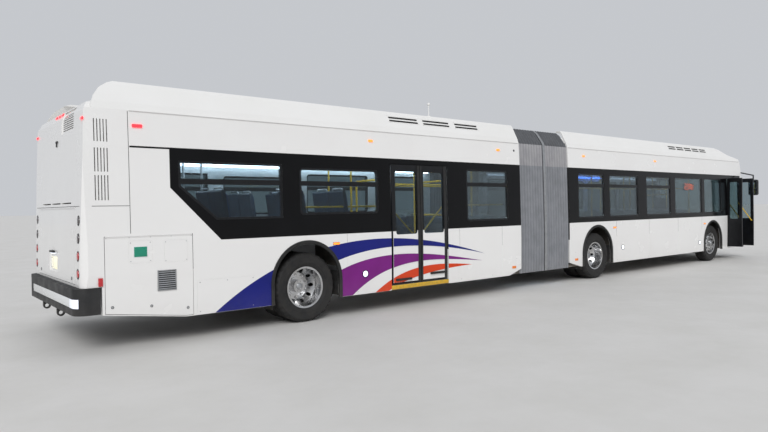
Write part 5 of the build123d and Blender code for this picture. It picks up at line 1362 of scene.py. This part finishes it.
def engineAssembly():
    bm = bmesh.new()
    face, back = engine["face"], engine["back"]
    addBlock(bm, (face, -0.200, 0.720), (back, 0.200, 1.080), bevel=0.015)
    addBlock(bm, (face + 0.03, -0.165, 0.575), (back - 0.04, 0.165, 0.722), bevel=0.030)
    addBlock(bm, (face + 0.01, -0.175, 1.079), (back - 0.01, 0.175, 1.195), bevel=0.008)
    addBlock(bm, (face + 0.03, -0.130, 1.194), (back - 0.03, 0.130, 1.300), bevel=0.028, segments=3, look=1)
    addBlock(bm, (back, -0.220, 0.650), (back + 0.060, 0.220, 1.120), bevel=0.020)
    for i in range(engine["ribs"]):
        x = face + 0.05 + i * 0.090
        for side in (-1, 1):
            addBlock(bm, (x, side * 0.198, 0.760), (x + 0.016, side * 0.214, 1.050), bevel=0.004, segments=1)
            addBar(bm, (x + 0.05, side * 0.155, 1.199), (0, 0, 1), 0.009, 0.012, sides=6, look=2)
    for side in (-1, 1):
        for x in (-8.880, -8.420):
            addBlock(bm, (x - 0.05, side * 0.190, 0.640), (x + 0.05, side * 0.330, 0.665), bevel=0.004)
            addBar(bm, (x, side * 0.290, 0.605), (0, 0, 1), 0.035, 0.080, look=3)
    for y, z, radius in engine["pulleys"]:
        addTurned(bm, [(0, -0.050), (radius * 0.45, -0.050), (radius * 0.45, 0), (radius * 0.9, 0.002),
                       (radius, 0), (radius, 0.012), (radius * 0.94, 0.014), (radius * 0.94, 0.034),
                       (radius, 0.036), (radius, 0.048), (radius * 0.9, 0.046), (radius * 0.8, 0.026),
                       (radius * 0.3, 0.022), (radius * 0.25, 0.050), (0, 0.052)], (face - 0.018, y, z),
                       (-1, 0, 0), steps=40, look=2)
    inner = beltLoop(engine["pulleys"], -0.004)
    outer = beltLoop(engine["pulleys"], 0.002)
    near, far = engine["belt"]
    part = bmesh.new()
    rings = [[part.verts.new((x, y, z)) for y, z in loop]
             for loop, x in ((inner, near), (outer, near), (outer, far), (inner, far))]
    stitchRings(part, rings + rings[:1])
    bmesh.ops.recalc_face_normals(part, faces=part.faces)
    joinPart(bm, part, look=3)
    addTurned(bm, [(0, 0), (0.070, 0), (0.078, 0.012), (0.078, 0.150), (0.066, 0.172), (0, 0.176)],
              (face + 0.012, 0.270, 1.105), (1, 0, 0), look=2)
    addBlock(bm, (face + 0.01, -0.370, 0.965), (face + 0.26, -0.196, 1.130), bevel=0.020)
    addTurned(bm, [(0, 0), (0.074, 0), (0.082, 0.010), (0.082, 0.060), (0.086, 0.064), (0.086, 0.074),
                   (0.082, 0.078), (0.082, 0.400), (0.070, 0.420), (0, 0.424)], (face + 0.03, 0.302, 0.800),
                   (1, 0, 0), look=1)
    addTube(bm, [(back - 0.26, 0.302, 0.860), (back - 0.26, 0.302, 1.010), (back - 0.26, 0.130, 1.140)],
            0.036, look=3)
    addTube(bm, [(back - 0.04, -0.265, 1.140), (face + 0.34, -0.265, 1.140), (face + 0.34, -0.290, 0.860),
                 (face + 0.34, -0.290, 0.610)], 0.044)
    for i in range(6):
        x = face + 0.36 + i * 0.055
        addBar(bm, (x, -0.215, 1.138), (0, 1, 0), 0.020, 0.090, sides=16)
    addTube(bm, [(face - 0.012, 0.085, 0.985), (face + 0.02, 0.150, 0.985), (face + 0.02, 0.210, 0.900),
                 (face + 0.12, 0.225, 0.900)], 0.022, look=3)
    placePiece("engineAssembly", bm, [castIron, mouldedAbs, brushedSteel, sealRubber], "rear_section",
               stands=("engine",))


engineAssembly()
print("engine ready")


# Lamps, reflectors and screws along both sides. Columns: section, x, height, kind
sideLamps = [
    ("rear", -1.985, 2.670, "clearance"), ("front", 0.813, 2.670, "clearance"),
    ("rear", -1.580, 0.460, "reflector"), ("front", 0.483, 0.472, "reflector"),
    ("rear", -5.690, 1.110, "marker"), ("front", 1.985, 1.100, "marker"), ("front", 6.560, 1.060, "marker"),
    ("rear", -5.157, 0.619, "docking"), ("front", 2.324, 0.637, "docking"),
    ("front", 6.250, 0.560, "docking"), ("front", 3.900, 2.670, "clearance"),
    ("rear", -5.000, 2.670, "clearance"), ("rear", -1.520, 2.680, "plug"),
]
# Blocks of each kind. Columns: size, bevel, finish number. The reflectors take the amber lens, whose faint
# glow on them is a painted reflection
lampBlocks = {"clearance": [((0.085, 0.036, 0.016), 0.007, 1)],
              "reflector": [((0.110, 0.048, 0.008), 0.003, 2)],
              "marker": [((0.118, 0.040, 0.003), 0.001, 0), ((0.108, 0.030, 0.010), 0.004, 1)]}
sideScrews = {"rear": [(-7.80, 0.72), (-7.43, 0.72), (-7.06, 0.72), (-7.80, 0.35), (-7.06, 0.35),
                       (-5.30, 0.36), (-3.02, 0.36), (-2.20, 0.36), (-1.50, 0.62)],
              "front": [(0.45, 0.62), (2.10, 0.36), (3.49, 0.36), (3.59, 0.36), (4.97, 0.36), (5.08, 0.36),
                        (6.30, 0.36), (7.90, 0.36)]}


def sideFittings():
    for section in ("front", "rear"):
        for side, sideName in bothSides:
            wall = f"{section}_wall_{sideName}"
            inward = (0, -side, 0)
            bm = bmesh.new()
            for place, x, height, kind in sideLamps:
                if place != section:
                    continue
                start = (x, side * besideY, height)
                for size, bevel, look in lampBlocks.get(kind, []):
                    addOnSurface(bm, wall, start, inward, size, bevel, look)
                if kind == "plug":
                    addScrew(bm, wall, start, inward, radius=0.022)
                elif kind == "docking":
                    addLamp(bm, wall, start, inward, 0.056, 0.014, 3)
            for x, height in sideScrews[section]:
                addScrew(bm, wall, (x, side * besideY, height), inward, look=4)
            placePiece(f"sideLamps_{section}_{sideName}", bm,
                       [mouldedAbs, lensAmberLit, lensAmber, lensWhiteLit, brushedSteel],
                       f"{section}_section")
            bm = bmesh.new()
            first, last = (frontBodyStart + 0.01, frontCapX - 0.03) if section == "front" else (
                rearAxleX - 2.44, rearBodyEnd - 0.01)
            for low, high, proud in ((corniceZ - 0.006, corniceZ + 0.006, 0.012),
                                     (bandTopZ + 0.002, bandTopZ + 0.010, 0.004)):
                inner = wallY(side, corniceZ, -0.004) if low > 2.6 else wallY(side, low, -0.003)
                addBlock(bm, (first, inner, low), (last, wallY(side, low, proud), high), bevel=0.002,
                         segments=1)
            placePiece(f"gutterRails_{section}_{sideName}", bm, [roofPaint], f"{section}_section")
    bm = bmesh.new()
    addBlock(bm, (5.500, -1.205, 1.960), (6.055, -1.240, 2.145), bevel=0.004)
    placePiece("sideDisplayCase", bm, [mouldedAbs], "front_section")
    bm = bmesh.new()
    addBlock(bm, (5.525, -1.239, 1.978), (6.030, -1.2425, 2.132))
    placePiece("sideDisplay", bm, [displayOn], "front_section")


sideFittings()
print("side fittings ready")


# Joint sealant on the rear corners, where the cap meets the walls
seams = {"width": 0.006, "x": -8.640, "level": 1.700, "low": 1.372}


def cornerSeams():
    half = seams["width"] / 2
    bm = bmesh.new()
    for side in (-1, 1):
        for low, high in ((seams["low"], 1.9), (1.9, bandTopZ), (bandTopZ, corniceZ - 0.008)):
            for vert in addBlock(bm, (seams["x"] - half, side * 1.2, low),
                                 (seams["x"] + half, side * 1.3, high)):
                vert.co.y = wallY(side, vert.co.z, 0.0009 if abs(vert.co.y) > 1.25 else -0.003)
        face = wallY(side, seams["level"])
        addBlock(bm, (-9.060, face - side * 0.003, seams["level"] - half),
                 (seams["x"], face + side * 0.0009, seams["level"] + half))
    rear = readLine(rearLine, seams["level"])
    addBlock(bm, (rear - 0.0009, -1.185, seams["level"] - half), (rear + 0.004, 1.185, seams["level"] + half))
    placePiece("cornerSeams", bm, [sealRubber], "rear_section")


cornerSeams()

# Mesh behind the roof vents, with a raised frame round each. Columns: section, x from, x to
fairingVents = [("rear", -4.530, -3.900), ("rear", -3.780, -3.155), ("rear", -3.010, -2.425)] + [
    ("front", 4.815 + 0.440 * i, 5.195 + 0.440 * i) for i in range(5)]
ventShape = {"lows": (3.020, 3.072), "height": 0.030, "foot": (1.228, 2.920), "head": (1.110, 3.150),
             "edge": 0.014}


def ventMeshes():
    (footY, footZ), (headY, headZ) = ventShape["foot"], ventShape["head"]

    def slope(z, sunk):
        out = Vector((headZ - footZ, footY - headY)).normalized()
        y = footY + (headY - footY) * (z - footZ) / (headZ - footZ)
        return y + out.x * sunk, z + out.y * sunk

    def addSlab(bm, side, x0, x1, low, high, under, over, look):
        verts = []
        for x in (x0, x1):
            for z, sunk in ((low, under), (low, over), (high, over), (high, under)):
                y, height = slope(z, sunk)
                verts.append(bm.verts.new((x, side * y, height)))
        for corners in ((0, 1, 2, 3), (7, 6, 5, 4), (0, 4, 5, 1), (1, 5, 6, 2), (2, 6, 7, 3), (3, 7, 4, 0)):
            bm.faces.new([verts[k] for k in corners]).material_index = look

    for section in ("front", "rear"):
        bm = bmesh.new()
        edge = ventShape["edge"]
        for place, x0, x1 in fairingVents:
            if place != section:
                continue
            for side in (-1, 1):
                # Near-black slabs inside each vent: black mesh that also paints the shade in the vent
                for low in ventShape["lows"]:
                    addSlab(bm, side, x0 - 0.004, x1 + 0.004, low - 0.004, low + ventShape["height"] + 0.004,
                            -0.009, -0.005, 1)
                bottom, top = ventShape["lows"][0] - edge, ventShape["lows"][-1] + ventShape["height"] + edge
                for low, high in ((bottom, bottom + 0.008), (top - 0.008, top)):
                    addSlab(bm, side, x0 - edge, x1 + edge, low, high, -0.002, 0.003, 0)
                for first in (x0 - edge, x1 + edge - 0.008):
                    addSlab(bm, side, first, first + 0.008, bottom, top, -0.002, 0.003, 0)
        placePiece(f"{section}VentMeshes", bm, [roofPaint, ventMeshPaintedShade], f"{section}_section")


ventMeshes()
print("seams and vents ready")


# Front face: mask round the glass, headlamps, indicators, wipers, route display, mirror glass
headlamps = [(1.010, 0.850, 0.084, 1), (0.800, 0.850, 0.068, 1),       # y, z, radius, finish
             (1.130, 1.010, 0.042, 2)]

# Heights and half width of the mask, and the wipers' sweeps as Y of the pivot, knee and far end
maskShape = {"low": 1.050, "high": 2.760, "half": 1.225}
wiperSweeps = ((-0.20, -0.62, -0.98), (0.98, 0.62, 0.24))
routeDisplay = {"z": 2.585, "case": (1.680, 0.250, 0.004), "face": (1.640, 0.210, 0.006)}
mirrorPanes = {"x": (9.1570, 9.1605), "y": (1.462, 1.668), "heights": ((2.000, 2.268), (1.852, 1.982))}


def frontMask():
    bm = nodeSkin("front_cap", lambda face: face.normal.x >= 0.45,
                  between(2, maskShape["low"], maskShape["high"])
                  + between(1, maskShape["half"], -maskShape["half"]) + [((frontCapX, 0, 0), (-1, 0, 0))])
    bmesh.ops.translate(bm, verts=bm.verts, vec=(filmStand, 0, 0))
    bmesh.ops.solidify(bm, geom=bm.faces[:], thickness=filmThickness)
    placePiece("frontMask", bm, [bandBlack], "front_section")


def frontFaceFittings():
    back = Vector((-1, 0, 0))
    bm = bmesh.new()
    for side in (-1, 1):
        for y, z, radius, look in headlamps:
            addLamp(bm, "front_cap", (aheadX, side * y, z), back, radius, 0.036, look)
    placePiece("headlamps", bm, [chromedSteel, lensClear, lensAmber], "front_section")
    bm = bmesh.new()
    for y in (-0.16, 0.0, 0.16, -0.95, 0.95):
        addOnSurface(bm, "front_cap", (aheadX, y, 2.800), back, (0.095, 0.034, 0.016), 0.007)
    placePiece("frontMarkerLamps", bm, [lensAmber], "front_section")
    bm = bmesh.new()
    for pivot, tip, far in wiperSweeps:
        foot = surfacePoint("front_cap", (aheadX, pivot, 1.085), back)[0]
        knee = surfacePoint("front_window_glass", (aheadX, tip, 1.300), back)[0]
        ends = [surfacePoint("front_window_glass", (aheadX, y, z), back)[0]
                for y, z in ((tip + 0.30, 1.22), (far, 1.40))]
        addBar(bm, foot + Vector((0.012, 0, 0)), (1, 0, 0), 0.022, 0.026)
        addTube(bm, [foot + Vector((0.022, 0, 0)), foot.lerp(knee, 0.5) + Vector((0.046, 0, 0)),
                     knee + Vector((0.030, 0, 0))], 0.008)
        for atEnds, atKnee, radius, look in ((0.022, 0.026, 0.0065, 0), (0.009, 0.010, 0.004, 1)):
            addTube(bm, [ends[0] + Vector((atEnds, 0, 0)), knee + Vector((atKnee, 0, 0)),
                         ends[1] + Vector((atEnds, 0, 0))], radius, look=look)
    placePiece("wipers", bm, [mouldedAbs, sealRubber], "front_section")
    bm = bmesh.new()
    for part, look in (("case", 1), ("face", 0)):
        addOnSurface(bm, "front_cap", (aheadX, 0, routeDisplay["z"]), back, routeDisplay[part], 0.001, look)
    placePiece("frontRouteDisplay", bm, [displayOff, sealRubber], "front_section")
    bm = bmesh.new()
    (x0, x1), (near, far) = mirrorPanes["x"], mirrorPanes["y"]
    for side in (-1, 1):
        for low, high in mirrorPanes["heights"]:
            addBlock(bm, (x0, side * near, low), (x1, side * far, high), bevel=0.001, segments=1)
    placePiece("mirrorGlasses", bm, [mirrorGlass], "front_section")


frontMask()
frontFaceFittings()
print("front face ready")


# Roof fans: blades and a wire guard in each well. Columns: section, x from, x to, case top
fanUnits = [
    ("front", middleAxleX - 0.400, middleAxleX + 2.000, 3.140),
    ("front", frontAxleX - 2.185, frontAxleX + 0.115, 3.140),
    ("rear", rearAxleX + 1.440, rearAxleX + 3.640, 3.140),
    ("rear", rearAxleX - 2.060, rearAxleX - 0.210, 3.120),
]
fanShape = {"blades": 7, "hub": 0.052, "tip": 0.176, "pitch": 0.55}


def roofFans():
    for section in ("front", "rear"):
        bm = bmesh.new()
        for place, start, end, top in fanUnits:
            if place != section:
                continue
            for i in range(3):
                middle = Vector((start + (end - start) * (i + 0.5) / 3, 0, top))
                for k in range(fanShape["blades"]):
                    angle = 2 * math.pi * k / fanShape["blades"]
                    part = bmesh.new()
                    addBlock(part, (fanShape["hub"], -0.030, -0.0012), (fanShape["tip"], 0.030, 0.0012),
                             bevel=0.001, segments=1)
                    twist = Matrix.Rotation(fanShape["pitch"], 4, "X")
                    joinPart(bm, part, Matrix.Translation(middle - Vector((0, 0, 0.030)))
                             @ Matrix.Rotation(angle, 4, "Z") @ twist)
                for ring in (0.066, 0.104, 0.146, 0.186):
                    addTurned(bm, [(ring, -0.002), (ring + 0.004, -0.002), (ring + 0.004, 0.002),
                                   (ring, 0.002)],
                              middle - Vector((0, 0, 0.0035)), (0, 0, 1), steps=40, look=1, closed=True)
                for k in range(6):
                    angle = math.pi * k / 3
                    way = Vector((math.cos(angle), math.sin(angle), 0))
                    addBar(bm, middle + way * 0.127 - Vector((0, 0, 0.0055)), way, 0.0025, 0.126, sides=8,
                           look=1)
        placePiece(f"{section}RoofFans", bm, [mouldedAbs, brushedSteel], f"{section}_section")


roofFans()
print("roof fans ready")


# Cabin: grab loops on the seat backs, screens beside the rear door, fare machine and driver's screen
screens = {"inner": -0.46, "wall": -1.205, "floor": 0.382, "rail": 1.490, "top": 2.080, "fromDoor": 0.055}
windowRails = {"spans": ((-6.30, -4.72), (-3.24, -1.80)), "height": 1.655, "inner": -1.165}
tubeRadii = {"loop": 0.011, "screen": 0.0165, "rail": 0.0145}


def cabinFittings():
    for section, rows in seatRows.items():
        bm = bmesh.new()
        for x, side, floor in rows:
            top = floor + seatPads["above"]
            for y in (side * middle for middle in seatPads["middles"]):
                addTube(bm, [(x + 0.068, y - 0.135, top + 0.560), (x + 0.052, y - 0.135, top + 0.672),
                             (x + 0.052, y + 0.135, top + 0.672), (x + 0.068, y + 0.135, top + 0.560)],
                        tubeRadii["loop"], sides=8)
        placePiece(f"{section}GrabLoops", bm, [brushedSteel], f"{section}_section")
    bm = bmesh.new()
    inner, wall, top, rail = (screens[key] for key in ("inner", "wall", "top", "rail"))
    for x in (doors["rear"]["low"] - screens["fromDoor"], doors["rear"]["high"] + screens["fromDoor"]):
        addTube(bm, [(x, inner, screens["floor"]), (x, inner, top), (x, wall, top)], tubeRadii["screen"])
        addTube(bm, [(x, inner, rail), (x, wall, rail)], tubeRadii["screen"])
        addBlock(bm, (x - 0.006, -0.490, 0.470), (x + 0.006, -1.200, 1.180), bevel=0.004, look=1)
    height, inner = windowRails["height"], windowRails["inner"]
    for x0, x1 in windowRails["spans"]:
        addTube(bm, [(x0, wall, height), (x0, inner, height), (x1, inner, height), (x1, wall, height)],
                tubeRadii["rail"])
    placePiece("doorScreens", bm, [powderYellow, cabinLaminate], "rear_section")
    bm = bmesh.new()
    addBlock(bm, (7.905, 0.270, 0.5615), (7.925, 1.200, 1.180), bevel=0.005)
    addTube(bm, [(7.915, 0.270, 0.562), (7.915, 0.270, 1.900), (7.915, 1.190, 1.900)], tubeRadii["screen"],
            look=1)
    addBlock(bm, (8.140, -0.320, 0.382), (8.420, -0.080, 1.120), bevel=0.018, segments=3, look=2)
    addBlock(bm, (8.165, -0.298, 1.118), (8.395, -0.102, 1.230), bevel=0.020, segments=3, look=3)
    placePiece("driverScreenAndFareMachine", bm, [cabinLaminate, powderYellow, brushedSteel, mouldedAbs],
               "front_section")


cabinFittings()
print("cabin fittings ready")


# Studio: a pale floor, an even world and one large soft lamp from behind the camera's shoulder
studio = {"floorSize": 900, "floor": "#D6D4D1", "sky": "#DADDE2", "skyStrength": 0.8, "lampPower": 1.7,
          "lampTurn": (52, 0, -38), "lampSpread": 30}


def buildStudio():
    bm = bmesh.new()
    bmesh.ops.create_grid(bm, x_segments=1, y_segments=1, size=studio["floorSize"] / 2)
    floor = makeObject("studioFloor", bm, [makeFinish("sealed concrete, pale", {
        "colour": studio["floor"], "worn": "#CFCDC9", "patch": 900, "rough": (0.55, 0.7), "grain": 8,
        "grainDepth": 0.0003})])
    world = bpy.data.worlds.new("studio")
    scene.world = world
    world.use_nodes = True
    sky = world.node_tree.nodes["Background"]
    sky.inputs["Color"].default_value = toLinear(studio["sky"])
    sky.inputs["Strength"].default_value = studio["skyStrength"]
    lamp = bpy.data.lights.new("softKey", "SUN")
    lamp.energy = studio["lampPower"]
    lamp.angle = math.radians(studio["lampSpread"])
    holder = bpy.data.objects.new("softKey", lamp)
    holder.rotation_euler = [math.radians(turn) for turn in studio["lampTurn"]]
    scene.collection.objects.link(holder)


buildStudio()

# Camera at the photograph's angle, behind the door side
cameraSet = {"place": (-10.967, -8.852, 1.633), "heading": 50.655, "pitch": -0.783, "roll": -0.883,
             "focal": 620.5, "frameWidth": 768, "sensor": 36.0}


def buildCamera():
    data = bpy.data.cameras.new("camera")
    data.sensor_width = cameraSet["sensor"]
    data.lens = cameraSet["sensor"] * cameraSet["focal"] / cameraSet["frameWidth"]
    data.clip_end = 400
    camera = bpy.data.objects.new("camera", data)
    turn = (Matrix.Rotation(math.radians(cameraSet["heading"] - 90), 4, "Z")
            @ Matrix.Rotation(math.radians(90 + cameraSet["pitch"]), 4, "X")
            @ Matrix.Rotation(math.radians(cameraSet["roll"]), 4, "Z"))
    camera.matrix_world = Matrix.Translation(cameraSet["place"]) @ turn
    scene.collection.objects.link(camera)
    scene.camera = camera


buildCamera()
print("studio and camera ready")
